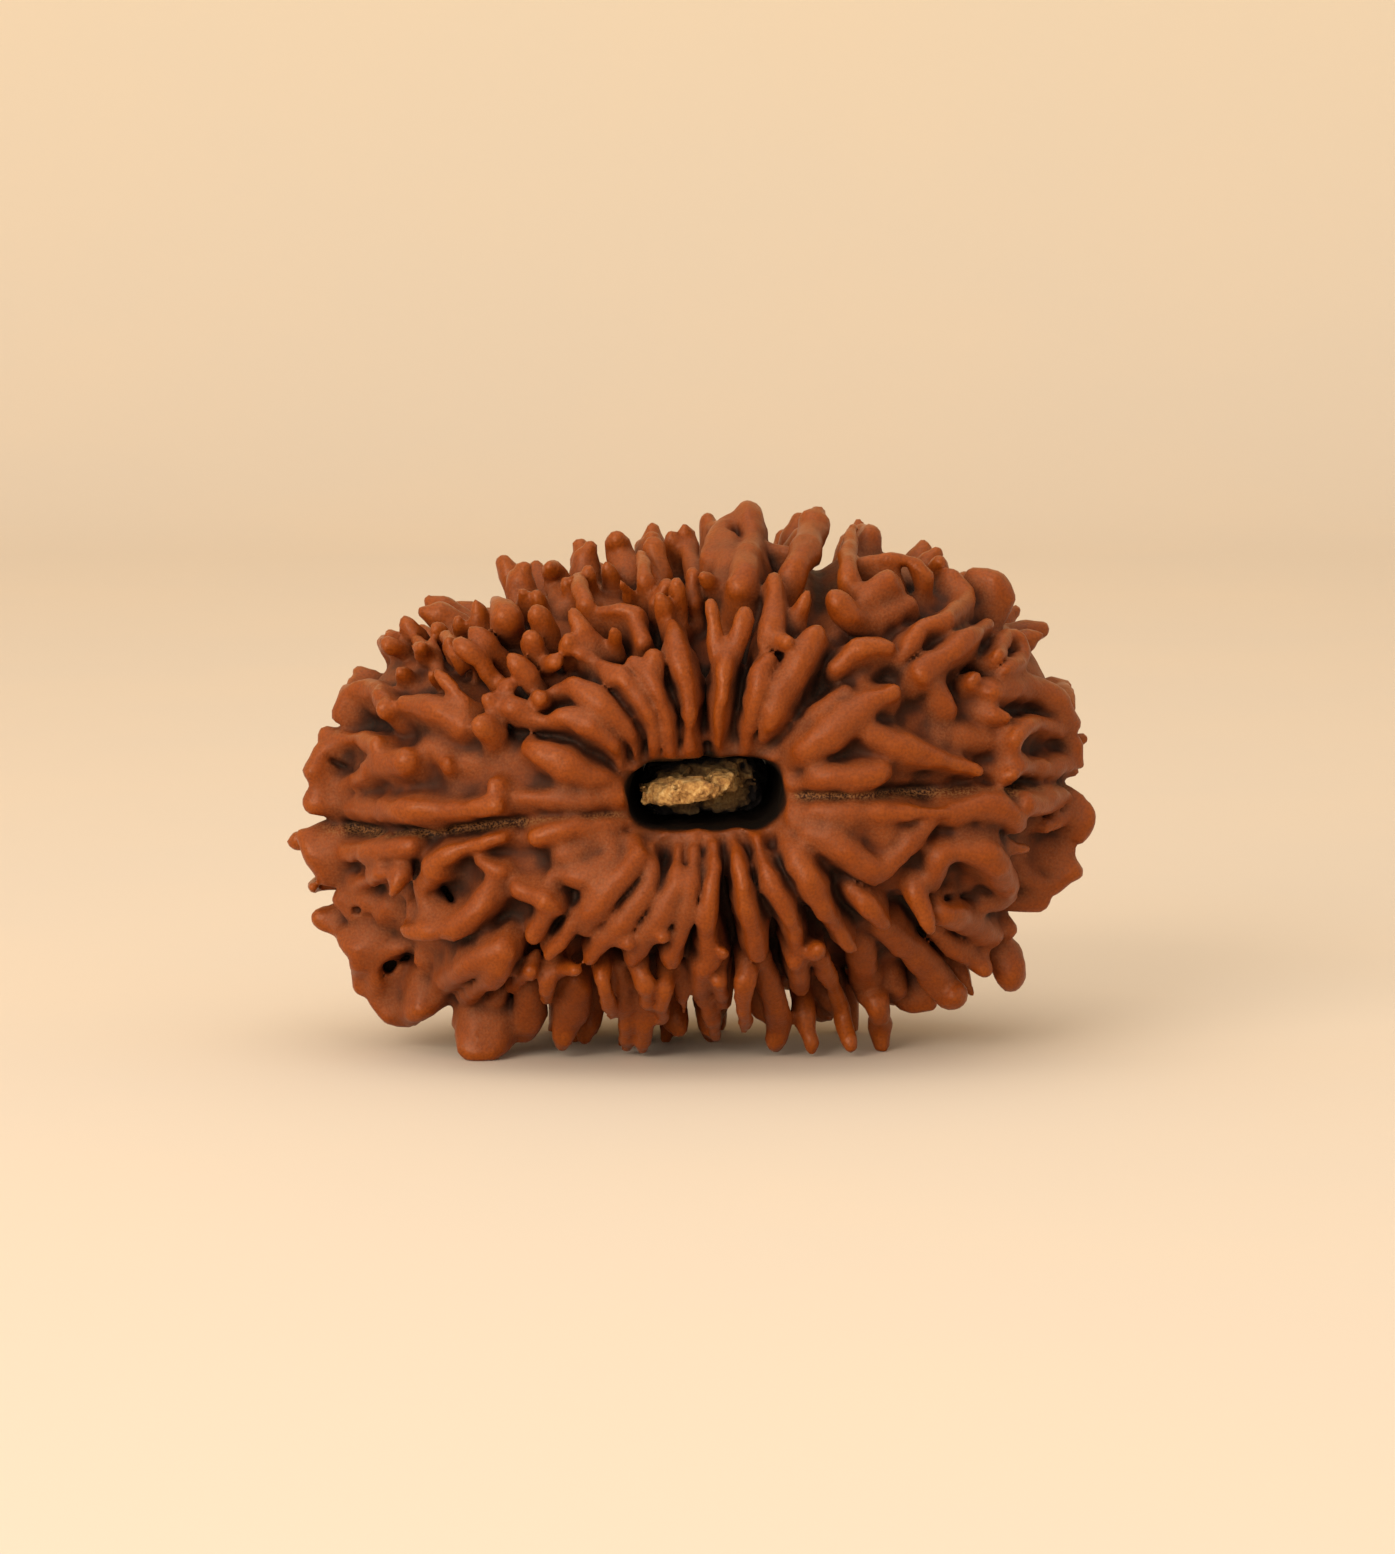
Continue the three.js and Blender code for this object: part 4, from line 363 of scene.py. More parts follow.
        finger([-10.5, -7.2, 0.6, 0.8], [-10.4, -7.9, 1.9, 0.6]),
    ],
}

# The far side's rule, with polar angles from the near pole: what each ring crosses, its angle and the
# height of its crests over the stone.
far = dict(
    rings=[("pass", 1.34, 1.0), ("thorn", 1.45, 2.1), ("pass", 1.56, 1.6), ("thorn", 1.68, 2.5),
           ("pass", 1.8, 1.8), ("thorn", 1.92, 2.6), ("pass", 2.04, 1.8), ("thorn", 2.16, 2.5),
           ("pass", 2.28, 1.7), ("gill", 2.4, 2.1), ("gill", 2.63, 1.6), ("gill", 2.9, 0.6)],
    spacing=2.7, bridge=1.9, bridged=0.3, lean=0.05, uneven=0.15, most=3,
    root=0.75, tip=0.36, bridgeHalf=0.42, gillHalf=0.6,
)
feet = [(-6.5, 3.8, 0.6), (0.8, 4.2, 0.55), (7.2, 3.6, 0.6)]  # x, y and half width of each far foot
feetTop = 5


# 1 on the smooth stone raised by lift: a squarish tilted oval across and an ellipse along the channel.
def gauge(p, lift=0.0):
    dx, dz = p[..., 0] - stone["x"], p[..., 2] - stone["z"]
    c, s = cos(stone["tilt"]), sin(stone["tilt"])
    along = np.abs(dx * c + dz * s) / (stone["halfWidth"] + lift)
    across = np.abs(dz * c - dx * s) / (stone["halfThickness"] + lift)
    oval = (along ** stone["squareness"] + across ** stone["squareness"]) ** (2 / stone["squareness"])
    return np.sqrt(oval + (p[..., 1] / (stone["halfLength"] + lift)) ** 2)


# The direction straight out of the stone: the slope of its gauge.
def outward(p):
    slope = np.stack([gauge(p + step) - gauge(p - step) for step in 0.01 * np.eye(3)], axis=-1)
    return slope / np.linalg.norm(slope, axis=-1, keepdims=True)


back = np.array([0, -cos(sight["elevation"]), sin(sight["elevation"])])  # the way to the viewer
upward = np.array([0, sin(sight["elevation"]), cos(sight["elevation"])])  # up on the sight plane
aim = np.array([0, 0, sight["aimHeight"]])
eye = aim + back * sight["distance"]


# Where points appear on the sight plane, as (across, up).
def asSeen(p):
    line = p - eye
    hit = eye + line * (sight["distance"] / -(line @ back))[..., None]
    return np.stack([hit[..., 0], (hit - aim) @ upward], axis=-1)


# Where the stone, raised by lift, is first met along the sight line at (across, up). A line that
# passes it gives its nearest point.
def seen(across, up, lift):
    plane = aim + across[:, None] * [1, 0, 0] + up[:, None] * upward
    line = plane - eye
    line /= np.linalg.norm(line, axis=-1, keepdims=True)
    depths = np.arange(-sight["nearest"], sight["furthest"], sight["step"])
    level = gauge(plane[:, None] + depths[:, None] * line[:, None], lift[:, None])
    met = (level <= 1).any(axis=1)
    last = np.where(met, (level <= 1).argmax(axis=1), level.argmin(axis=1))
    row, before = np.arange(len(last)), np.maximum(last - 1, 0)
    drop = np.maximum(level[row, before] - level[row, last], 1e-9)
    share = np.where(met, np.clip((level[row, before] - 1) / drop, 0, 1), 1)
    return plane + (depths[before] + share * sight["step"])[:, None] * line


# The point of the raised stone at an angle round the hole and an angle from its near pole.
def onStone(turn, polar, lift):
    power = stone["squareness"]
    size = np.sin(polar) / (np.abs(np.cos(turn)) ** power + np.abs(np.sin(turn)) ** power) ** (1 / power)
    along = (stone["halfWidth"] + lift) * np.cos(turn) * size
    across = (stone["halfThickness"] + lift) * np.sin(turn) * size
    c, s = cos(stone["tilt"]), sin(stone["tilt"])
    return np.stack([stone["x"] + along * c - across * s,
                     -(stone["halfLength"] + lift) * np.cos(polar),
                     stone["z"] + along * s + across * c], axis=-1)


# Both angles of a point, the inverse of onStone.
def anglesOf(p):
    dx, dz = p[..., 0] - stone["x"], p[..., 2] - stone["z"]
    c, s = cos(stone["tilt"]), sin(stone["tilt"])
    along, across = (dx * c + dz * s) / stone["halfWidth"], (dz * c - dx * s) / stone["halfThickness"]
    oval = (np.abs(along) ** stone["squareness"] + np.abs(across) ** stone["squareness"]) ** (
        1 / stone["squareness"])
    return np.arctan2(across, along), np.arctan2(oval, -p[..., 1] / stone["halfLength"])


# Each cleft as its angle round the hole against the angle from the near pole, one run after another.
def cleftLines():
    lines, last = [], pi
    for points in clefts:
        across, up = np.array(points, float).T
        turn, polar = anglesOf(seen(across, up, np.zeros(len(up))))
        order = np.argsort(polar)
        turn, polar = turn[order], polar[order]
        turn = last + (turn - last + pi) % (2 * pi) - pi
        last = turn[-1]
        lines.append((turn, polar))
    return lines


# The angle of one cleft at an angle from the pole. The far half mirrors the near half.
def turnAt(line, polar):
    return np.interp(np.minimum(polar, pi - polar), line[1], line[0])


def lobeTurn(lines, lobe, share, polar):
    nextLobe = (lobe + 1) % len(lines)
    wrap = 2 * pi if nextLobe == 0 else 0
    own = turnAt(lines[lobe], polar)
    return own + share * (turnAt(lines[nextLobe], polar) - wrap - own)


def lobeWidth(lines, lobe, polar):
    edges = [onStone(lobeTurn(lines, lobe, share, polar), polar, 0) for share in (0, 1)]
    return np.linalg.norm(edges[0] - edges[1])


drawState = 20


# Seeded draws, the same as the part's source makes.
def draw(low=0.0, high=1.0):
    global drawState
    drawState = drawState * 48271 % 2147483647
    return low + (high - low) * drawState / 2147483647


# Points along a smooth curve through the given rows: the Catmull-Rom blend of each four neighbours.
def smoothPath(rows, spacing):
    ends = np.vstack([2 * rows[0] - rows[1], rows, 2 * rows[-1] - rows[-2]])
    runs = []
    for a, b, c, d in zip(ends, ends[1:], ends[2:], ends[3:]):
        count = max(2, int(np.ceil(np.linalg.norm((c - b)[:3]) / spacing)))
        t = np.arange(count)[:, None] / count
        runs.append(0.5 * (2 * b + (c - a) * t + (2 * a - 5 * b + 4 * c - d) * t ** 2
                           + (3 * b - a - 3 * c + d) * t ** 3))
    return np.vstack(runs + [rows[-1:]])


# A ridge or thorn of the near side as points in space, the way out at each, and half widths.
def nearStroke(kind, points):
    rows = smoothPath(points, 0.45)
    across, up, lift, half = rows.T
    at = seen(across, up, lift)
    out = outward(at)
    at = at - out * (bead["sink"] * half * np.maximum(-out[:, 1], 0))[:, None]
    if kind == "finger":  # a thorn has a root in the stone
        at = np.vstack([at[:1] - out[:1] * (lift[0] + 0.8), at])
        out, half = np.vstack([out[:1], out]), np.append(half[0] * 1.15, half)
        half[-1] *= bead["tip"]
    return kind, at, out, half


# The far side's strokes, drawn in the order of the part's source.
def farStrokes(lines):
    columns = []
    for lobe in range(len(lines)):
        crests = max(1, round(lobeWidth(lines, lobe, pi / 2) / far["spacing"]))
        columns += [(lobe, k * 0.5 / crests, 0.5 / crests, k % 2 == 1) for k in range(crests * 2)]
    strokes, tracks = [], {}
    for kind, polar, height in far["rings"]:
        for column, (lobe, share, step, crest) in enumerate(columns):
            bridge = draw() < far["bridged"]
            sway, lean = draw(-0.5, 0.5), draw(-far["lean"], far["lean"])
            reach = draw(-far["uneven"], far["uneven"])
            if not crest:
                continue
            thorn = kind == "thorn"
            turn = lobeTurn(lines, lobe, share + (sway * step if thorn else 0), polar)
            tipped = polar + sight["elevation"] * sin(turn) + (lean if thorn else 0)
            room = lobeWidth(lines, lobe, polar) * step
            level = min(height + reach if thorn else far["bridge"] if bridge else height,
                        far["most"] * room + 0.5)
            tracks.setdefault(column, []).append((kind, bridge, turn, tipped, level, room))
            if thorn:
                upright = lobeTurn(lines, lobe, share, polar)
                spots = np.array([[upright, tipped, -0.8], [upright, tipped, 0.4],
                                  [(upright + turn) / 2, tipped, level * 0.6], [turn, tipped, level - 0.3]])
                at = onStone(*spots.T)
                width = min(1, room / 1.1)
                half = np.array([1.15, 1.0, 0.7, 0]) * (far["root"] - far["tip"]) * width + far["tip"]
                strokes.append(("finger", at, outward(at), half))
    for track in tracks.values():
        # a raised crest between two thorns bridges them
        for before, mid, after in zip(track, track[1:], track[2:]):
            if mid[0] == "pass" and mid[1] and before[0] == after[0] == "thorn":
                spots = np.array([[t[2], t[3], min(t[4], far["bridge"])] for t in (before, mid, after)])
                rows = smoothPath(spots, 0.1)
                at = onStone(*rows.T)
                strokes.append(("blade", at, outward(at), np.full(len(at), far["bridgeHalf"])))
        gill = [t for t in track if t[0] != "thorn" and t[3] > 2.1]
        spots = np.array([[t[2], t[3], t[4], min(far["gillHalf"], t[5] * 0.55)] for t in gill])
        rows = smoothPath(spots, 0.05)
        at = onStone(*rows[:, :3].T)
        strokes.append(("blade", at, outward(at), rows[:, 3]))
    for x, y, half in feet:
        at = np.array([[x, y, feetTop], [x, y, 2.5], [x, y, 0.2]])
        strokes.append(("finger", at, outward(at), np.array([1.5, 1.1, 1]) * half))
    return strokes

bead = dict(
    voxel=0.17,                           # spacing of the grid that the stone is worked out on
    low=(-20.2, -12.2, -0.6), high=(19.6, 12.4, 27.0),
    blend=(0.22, 0.34),                   # how far a ridge runs into the stone, among gills and in webs
    crest=(0.74, 0.78), spread=0.38,      # a ridge's width at its crest, and what each mm below adds
    base=1.35, tip=0.75,                  # its full width lower down, and a thorn's at its tip
    sink=0.5,                             # how much of its half width a crest that faces the viewer loses
    fill=0.42, fillKept=(0.42, 0.2),      # how far narrow creases are rounded out, among gills and in webs
    web=(0.45, 0.8),                      # where webs begin and are whole, 0 above the hole and 1 beside it
    waves=[(1.5, 0.16), (0.7, 0.1), (0.4, 0.04)],   # spacing and height of the unevenness of its skin
    pitTop=2, pitBottom=-0.8,             # where pits start and end over the stone
    pitTaper=0.14, pitRough=(0.7, 0.2),   # how pits narrow, and their unevenness
    wall=(0.9, 0.15),                     # the unevenness of the channel's wall
    faces=190_000,
)

# Pits between the webs, each a slot straight in from one point to another on the sight plane, as
# [across, up, across, up, half width, depth]. The last is the notch over the channel's mouth.
pits = [(-17.2, 0.8, -16.2, 0.3, 0.38, 2.2), (-12.9, 0.55, -12.8, 0.25, 0.28, 2.2),
        (-16, -6.3, -14.9, -5.2, 0.36, 2.2), (-13.55, -5.8, -13.7, -6.5, 0.34, 2.2),
        (-12, -5.1, -11.6, -5.8, 0.45, 2.2), (-14.5, -8.9, -13.7, -8.5, 0.4, 2.2),
        (-10.8, 5, -10.8, 4.4, 0.3, 2.2), (9.8, 9.7, 10.1, 8.9, 0.42, 2.2), (15.8, 1.2, 16.7, 1.75, 0.34, 2.2),
        (11.8, -5.7, 12.8, -5.6, 0.36, 2.2), (-10.35, -12, -10.2, -11.4, 0.42, -0.9),
        (0.65, 0.8, 0.45, 1.5, 0.62, 3.6)]


# The grid of the stone: its axes, and a block's part of it.
def gridAxes():
    return [np.arange(a, b, bead["voxel"]) for a, b in zip(bead["low"], bead["high"])]


def gridPoints(axes):
    return np.stack(np.meshgrid(*axes, indexing="ij"), axis=-1)


# Joins two distances with a fillet: the lesser of both, lowered where they are nearly equal.
def joined(a, b, blend):
    near = np.maximum(blend - np.abs(a - b), 0) / blend
    return np.minimum(a, b) - near * near * blend / 4


# Random heights on a lattice of the given spacing, run smoothly together between its points.
def lumps(p, spacing, seed):
    lattice = np.random.default_rng(seed).random((32, 32, 32)) * 2 - 1
    q = p / spacing
    cell = np.floor(q).astype(int)
    t = q - cell
    t = t * t * (3 - 2 * t)
    total = 0
    for corner in np.ndindex(2, 2, 2):
        weight = np.prod([t[..., a] if c else 1 - t[..., a] for a, c in enumerate(corner)], axis=0)
        i, j, k = [(cell[..., a] + c) % 32 for a, c in enumerate(corner)]
        total = total + weight * lattice[i, j, k]
    return total


# Each value averaged with its neighbours along all three axes, by a bell of the given width.
def blurred(field, width):
    reach = int(np.ceil(2.5 * width / bead["voxel"]))
    bell = np.exp(-0.5 * (np.arange(-reach, reach + 1) * bead["voxel"] / width) ** 2)
    bell /= bell.sum()
    for axis in range(3):
        padded = np.pad(field, [(reach, reach) if a == axis else (0, 0) for a in range(3)], mode="edge")
        size = field.shape[axis]
        field = sum(w * np.take(padded, range(k, k + size), axis=axis) for k, w in enumerate(bell))
    return field


# Distance in mm along the stone from each point to the cleft on either side of it.
def cleftDistances(lines, p):
    turn, polar = anglesOf(p)
    radius = np.hypot(p[:, 0] - stone["x"], p[:, 2] - stone["z"])
    left, right = np.full(len(p), 99.0), np.full(len(p), 99.0)
    for line in lines:
        gap = ((turn - turnAt(line, polar) + pi) % (2 * pi) - pi) * radius
        left = np.minimum(left, np.where(gap >= 0, gap, 99))
        right = np.minimum(right, np.where(gap < 0, -gap, 99))
    return left, right


# Distance to a stroke's segment. A thorn is a tapered rod. A ridge is the same above its crest, and
# below it only the distance sideways counts and its width grows to the whole, so it stands like a wedge.
def segmentDistance(q, kind, ends, outs, halves, crests):
    run = ends[1] - ends[0]
    t = np.clip((q - ends[0]) @ run / max(run @ run, 1e-9), 0, 1)
    away = q - ends[0] - t[..., None] * run
    width = halves[0] + t * (halves[1] - halves[0])
    square = np.einsum("...i,...i", away, away)
    if kind == "finger":
        return np.sqrt(square) - width
    rise = away @ ((outs[0] + outs[1]) / 2)
    beside = np.sqrt(np.maximum(square - rise * rise, 0) + np.maximum(rise, 0) ** 2)
    crest = crests[0] + t * (crests[1] - crests[0])
    return beside - width * np.minimum(crest + bead["spread"] * np.maximum(-rise, 0), bead["base"])


# How webbed the bead is, from 0 above and below the hole to 1 beside it.
def webShare(p):
    turn = anglesOf(p)[0]
    share = np.clip((np.abs(np.cos(turn)) - bead["web"][0]) / (bead["web"][1] - bead["web"][0]), 0, 1)
    return share * share * (3 - 2 * share)


def mixed(pair, share):
    return pair[0] + (pair[1] - pair[0]) * share


# Adds one ridge or thorn to the field, inside the box that it can reach.
def addStroke(field, axes, web, stroke):
    kind, at, out, half = stroke
    reach = half.max() * 1.5 + 1.0
    depth = 2.4 if kind == "blade" else 0
    foot = at - out * depth
    low = np.minimum(at.min(axis=0), foot.min(axis=0)) - reach
    high = np.maximum(at.max(axis=0), foot.max(axis=0)) + reach
    block = tuple(slice(*np.searchsorted(axis, (a, b))) for axis, a, b in zip(axes, low, high))
    near = np.full(field[block].shape, 9.0)
    crests = mixed(bead["crest"], webShare(at))
    if not near.size:
        return
    for i in range(len(at) - 1):
        pair = np.vstack([at[i:i + 2], foot[i:i + 2]])
        inner = [slice(*np.searchsorted(axis[span], (a, b))) for axis, span, a, b in
                 zip(axes, block, pair.min(axis=0) - reach, pair.max(axis=0) + reach)]
        q = gridPoints([axis[span][cut] for axis, span, cut in zip(axes, block, inner)])
        part = segmentDistance(q, kind, at[i:i + 2], out[i:i + 2], half[i:i + 2], crests[i:i + 2])
        near[tuple(inner)] = np.minimum(near[tuple(inner)], part)
    field[block] = joined(field[block], near, mixed(bead["blend"], web[block]))


# Takes one pit out of the field: an uneven slot along the sight line, narrower further down. Smooth is
# the stone's own field, without ridges.
def cutPit(field, smooth, axes, pit):
    ends = np.array(pit[:4]).reshape(2, 2)
    at = seen(*ends.T, np.full(2, float(bead["pitTop"])))
    low, high = at.min(axis=0) - 2, at.max(axis=0) + pit[5]
    block = tuple(slice(*np.searchsorted(axis, (a, b))) for axis, a, b in zip(axes, low, high))
    q = gridPoints([axis[span] for axis, span in zip(axes, block)])
    place, run = asSeen(q) - ends[0], ends[1] - ends[0]
    beside = np.linalg.norm(place - np.clip(place @ run / (run @ run), 0, 1)[..., None] * run, axis=-1)
    hole = beside - pit[4] + bead["pitTaper"] * (bead["pitTop"] - smooth[block])
    hole += bead["pitRough"][1] * lumps(q, bead["pitRough"][0], 9)
    hole = np.maximum(hole, bead["pitBottom"] - smooth[block])
    hole = np.maximum(hole, q[..., 1] - at[:, 1].mean() - pit[5])
    field[block] = -joined(-field[block], hole, 0.3)


# Distance to the channel's wall: a rounded slot whose sizes change evenly from mouth to mouth.
def channelDistance(p):
    a, b = channel["mouth"], channel["far"]
    t = np.clip((p[..., 1] - a["y"]) / (b["y"] - a["y"]), -0.3, 1.3)
    size = {key: a[key] + (b[key] - a[key]) * t for key in a}
    x, z = p[..., 0] - channel["x"], p[..., 2] - channel["z"] - size["lift"]
    across, up = x * np.cos(size["tilt"]) + z * np.sin(size["tilt"]), z * np.cos(size["tilt"]) - x * np.sin(
        size["tilt"])
    sideways = np.abs(across) - size["halfWidth"] + size["corner"]
    upwards = np.abs(up) - size["halfHeight"] + size["corner"]
    outside = np.hypot(np.maximum(sideways, 0), np.maximum(upwards, 0))
    return outside + np.minimum(np.maximum(sideways, upwards), 0) - size["corner"]


# The field of the whole bead: below 0 inside it and above 0 outside, close to the distance in mm.
def beadField(lines):
    axes = gridAxes()
    p = gridPoints(axes)
    level = gauge(p)
    slope = np.sqrt(sum(g * g for g in np.gradient(level, bead["voxel"])))
    field = (level - 1) / np.maximum(slope, 0.02)
    skin = np.abs(field) < 2.5
    left, right = cleftDistances(lines, p[skin])
    near, wide = np.minimum(left, right), left + right
    high = np.minimum(relief["lobe"], relief["lobePerWidth"] * wide)
    rise = relief["cleft"] + (high - relief["cleft"]) * (1 - np.exp(-(near / 0.55) ** 2))
    field[skin] -= rise
    smooth = field.copy()
    print("stone and clefts laid out on", field.shape)
    web = webShare(p)
    strokes = [nearStroke(*stroke) for ridges in lobes.values() for stroke in ridges] + farStrokes(lines)
    for stroke in strokes:
        addStroke(field, axes, web, stroke)
    print(len(strokes), "ridges and thorns added")
    field = joined(field, blurred(field, bead["fill"]) + mixed(bead["fillKept"], web), 0.2)
    for pit in pits:
        cutPit(field, smooth, axes, pit)
    skin = np.abs(field) < 1
    for seed, (spacing, height) in enumerate(bead["waves"]):
        field[skin] += height * lumps(p[skin], spacing, 3 + seed)
    wall = channelDistance(p) + bead["wall"][1] * lumps(p, bead["wall"][0], 12)
    field = -joined(-field, wall, 0.25)
    field = np.maximum(field, -p[..., 2])
    return axes, field


# The surface where a field is 0. Each grid cell that the surface crosses has one point, the middle of
# the crossings on its edges, and each crossed edge has one face, through the four cells round it.
def surfaceOf(axes, field):
    inside = field < 0
    cells = np.array(field.shape) - 1
    steps = np.array([cells[1] * cells[2], cells[2], 1])
    sums, faces = [], []
    for axis in range(3):
        one, two = (axis + 1) % 3, (axis + 2) % 3
        ahead = tuple(slice(1, None) if a == axis else slice(None) for a in range(3))
        behind = tuple(slice(None, -1) if a == axis else slice(None) for a in range(3))
        crossed = np.argwhere(inside[ahead] != inside[behind])
        kept = ((crossed[:, [one, two]] > 0) & (crossed[:, [one, two]] < cells[[one, two]])).all(axis=1)
        crossed = crossed[kept]
        start = tuple(crossed.T)
        end = tuple((crossed + np.eye(3, dtype=int)[axis]).T)
        share = field[start] / (field[start] - field[end])
        point = np.stack([axes[a][crossed[:, a]] for a in range(3)], axis=-1)
        point[:, axis] += share * (axes[axis][1] - axes[axis][0])
        cell = crossed @ steps
        ring = np.stack([cell - steps[one] - steps[two], cell - steps[two], cell, cell - steps[one]], axis=1)
        sums.append((ring.ravel(), np.repeat(point, 4, axis=0)))
        faces.append(np.where(inside[start][:, None], ring, ring[:, ::-1]))
    owner = np.concatenate([s[0] for s in sums])
    point = np.concatenate([s[1] for s in sums])
    used, index = np.unique(owner, return_inverse=True)
    count = np.bincount(index)
    verts = np.stack([np.bincount(index, point[:, a]) / count for a in range(3)], axis=-1)
    return verts, np.searchsorted(used, np.concatenate(faces))


# The field's value at any points, blended from the eight grid values round each.
def valueAt(axes, field, p):
    low = np.array([axis[0] for axis in axes])
    q = np.clip((p - low) / bead["voxel"], 0, np.array(field.shape) - 1.001)
    cell = q.astype(int)
    t = q - cell
    total = np.zeros(len(p))
    for corner in np.ndindex(2, 2, 2):
        weight = np.prod(np.where(corner, t, 1 - t), axis=1)
        total += weight * field[tuple((cell + corner).T)]
    return total


# A mesh object from points in mm.
def meshObject(name, verts, faces):
    mesh = bpy.data.meshes.new(name)
    mesh.from_pydata((verts + centring) * mm, [], faces)
    mesh.validate()
    mesh.shade_smooth()
    made = bpy.data.objects.new(name, mesh)
    bpy.context.scene.collection.objects.link(made)
    return made


# sRGB hex to linear colour.
def linear(code):
    parts = [int(code[i:i + 2], 16) / 255 for i in (1, 3, 5)]
    return [p / 12.92 if p <= 0.04045 else ((p + 0.055) / 1.055) ** 2.4 for p in parts] + [1]


# Adds one node with its settings, and links or values for its inputs by name or number.
def node(tree, kind, inputs=None, **settings):
    made = tree.nodes.new(kind)
    for key, value in settings.items():
        setattr(made, key, value)
    for key, value in (inputs or {}).items():
        if isinstance(value, bpy.types.NodeSocket):
            tree.links.new(value, made.inputs[key])
        else:
            made.inputs[key].default_value = value
    return made


# A material whose shader has the given inputs, as links or values.
def newMaterial(name, inputsOf):
    made = bpy.data.materials.new(name)
    made.use_nodes = True
    tree = made.node_tree
    tree.nodes.clear()
    shader = node(tree, "ShaderNodeBsdfPrincipled", inputsOf(tree))
    node(tree, "ShaderNodeOutputMaterial", {"Surface": shader.outputs["BSDF"]})
    return made


# Noise on Object coordinates whose lumps are about the given size in mm.
def grain(tree, size, detail=2.0, roughness=0.5):
    place = node(tree, "ShaderNodeTexCoord").outputs["Object"]
    return node(tree, "ShaderNodeTexNoise", {"Vector": place, "Scale": 1 / (size * mm), "Detail": detail,
                                             "Roughness": roughness}).outputs["Fac"]


# A value carried from one range to another and held at its ends.
def remap(tree, value, low, high, toLow=0.0, toHigh=1.0):
    return node(tree, "ShaderNodeMapRange", {"Value": value, "From Min": low, "From Max": high,
                                             "To Min": toLow, "To Max": toHigh}).outputs["Result"]


def times(tree, a, b):
    return node(tree, "ShaderNodeMath", {0: a, 1: b}, operation="MULTIPLY").outputs["Value"]


# One colour laid over another by a share from 0 to 1.
def overlay(tree, share, under, over):
    return node(tree, "ShaderNodeMix", {0: share, 6: under, 7: over}, data_type="RGBA").outputs[2]


# A colour for each value, run evenly between the given stops.
def colourRamp(tree, value, stops):
    made = node(tree, "ShaderNodeValToRGB", {"Fac": value})
    while len(made.color_ramp.elements) < len(stops):
        made.color_ramp.elements.new(0.5)
    for element, (place, code) in zip(made.color_ramp.elements, stops):
        element.position, element.color = place, linear(code)
    return made.outputs["Color"]


# A float value for each point of a mesh, which its material reads by name.
def setValues(made, name, values):
    attribute = made.data.attributes.new(name, "FLOAT", "POINT")
    attribute.data.foreach_set("value", np.asarray(values, np.float32))


def readValue(tree, name):
    return node(tree, "ShaderNodeAttribute", attribute_name=name).outputs["Fac"]


# The colours by hollowness are the shell's own tone on crests and webs, run to near black in the folds as
# painted shade.
shell = dict(
    toneAndShadeByHollow=[(0.24, "#88400d"), (0.36, "#7f390b"), (0.48, "#76340c"), (0.58, "#5e280a"), (0.66, "#361506"),
              (0.76, "#110502"), (0.88, "#060201")],
    fine="#3a1406", fineGrain=0.13, fineShare=0.3,
    dust="#8b5836", dustGrain=0.1, dustShare=0.26,
    seamClefts=(0, 10), seam="#80532e", seamWidth=0.36, seamGrain=0.1,
    # The channel's wall painted near black: painted shade inside the hole.
    inside="#050302",
    roughness=(0.38, 0.7), gloss=0.32, glossTint="#ffdcc0", pore=0.17, poreDepth=0.045,
)


# The shell of a dried rudraksha, hard and woody, handled until its crests have a waxy sheen. Crests and
# tips are rubbed orange-brown and the webs between them stay dull and dusty, its own tone. The folds are
# painted near black as painted shade, and so is the channel's wall.
def rudrakshaShell():
    def inputs(tree):
        hollow = readValue(tree, "hollow")
        mottle = remap(tree, grain(tree, 1.6, 3), 0.3, 0.7, -0.08, 0.08)
        shifted = node(tree, "ShaderNodeMath", {0: hollow, 1: mottle}, operation="ADD").outputs["Value"]
        # Painted shade: the more closed in a place is, the darker, down to near black in the folds.
        colour = colourRamp(tree, shifted, shell["toneAndShadeByHollow"])
        fine = remap(tree, grain(tree, shell["fineGrain"], 2), 0.4, 0.65, 0, shell["fineShare"])
        colour = overlay(tree, fine, colour, linear(shell["fine"]))
        flat = times(tree, remap(tree, hollow, 0.34, 0.46), remap(tree, hollow, 0.66, 0.54))
        speck = remap(tree, grain(tree, shell["dustGrain"], 1), 0.42, 0.64, 0.3, 1)
        dust = times(tree, times(tree, flat, speck), shell["dustShare"])
        colour = overlay(tree, dust, colour, linear(shell["dust"]))
        sand = times(tree, readValue(tree, "seam"), remap(tree, grain(tree, shell["seamGrain"], 2), 0.42, 0.6))
        sand = times(tree, sand, remap(tree, hollow, 0.46, 0.56))
        colour = overlay(tree, sand, colour, linear(shell["seam"]))
        # Painted shade: the channel's wall overlaid near black.
        colour = overlay(tree, readValue(tree, "channel"), colour, linear(shell["inside"]))
        pores = node(tree, "ShaderNodeBump", {"Height": grain(tree, shell["pore"], 3, 0.6), "Strength": 0.6,
                                              "Distance": shell["poreDepth"] * mm})
        rough = remap(tree, hollow, 0.3, 0.55, *shell["roughness"])
        return {"Base Color": colour, "Roughness": rough, "IOR": 1.5, "Specular IOR Level": shell["gloss"],
                "Specular Tint": linear(shell["glossTint"]), "Normal": pores.outputs["Normal"]}
    return newMaterial("rudrakshaShell", inputs)


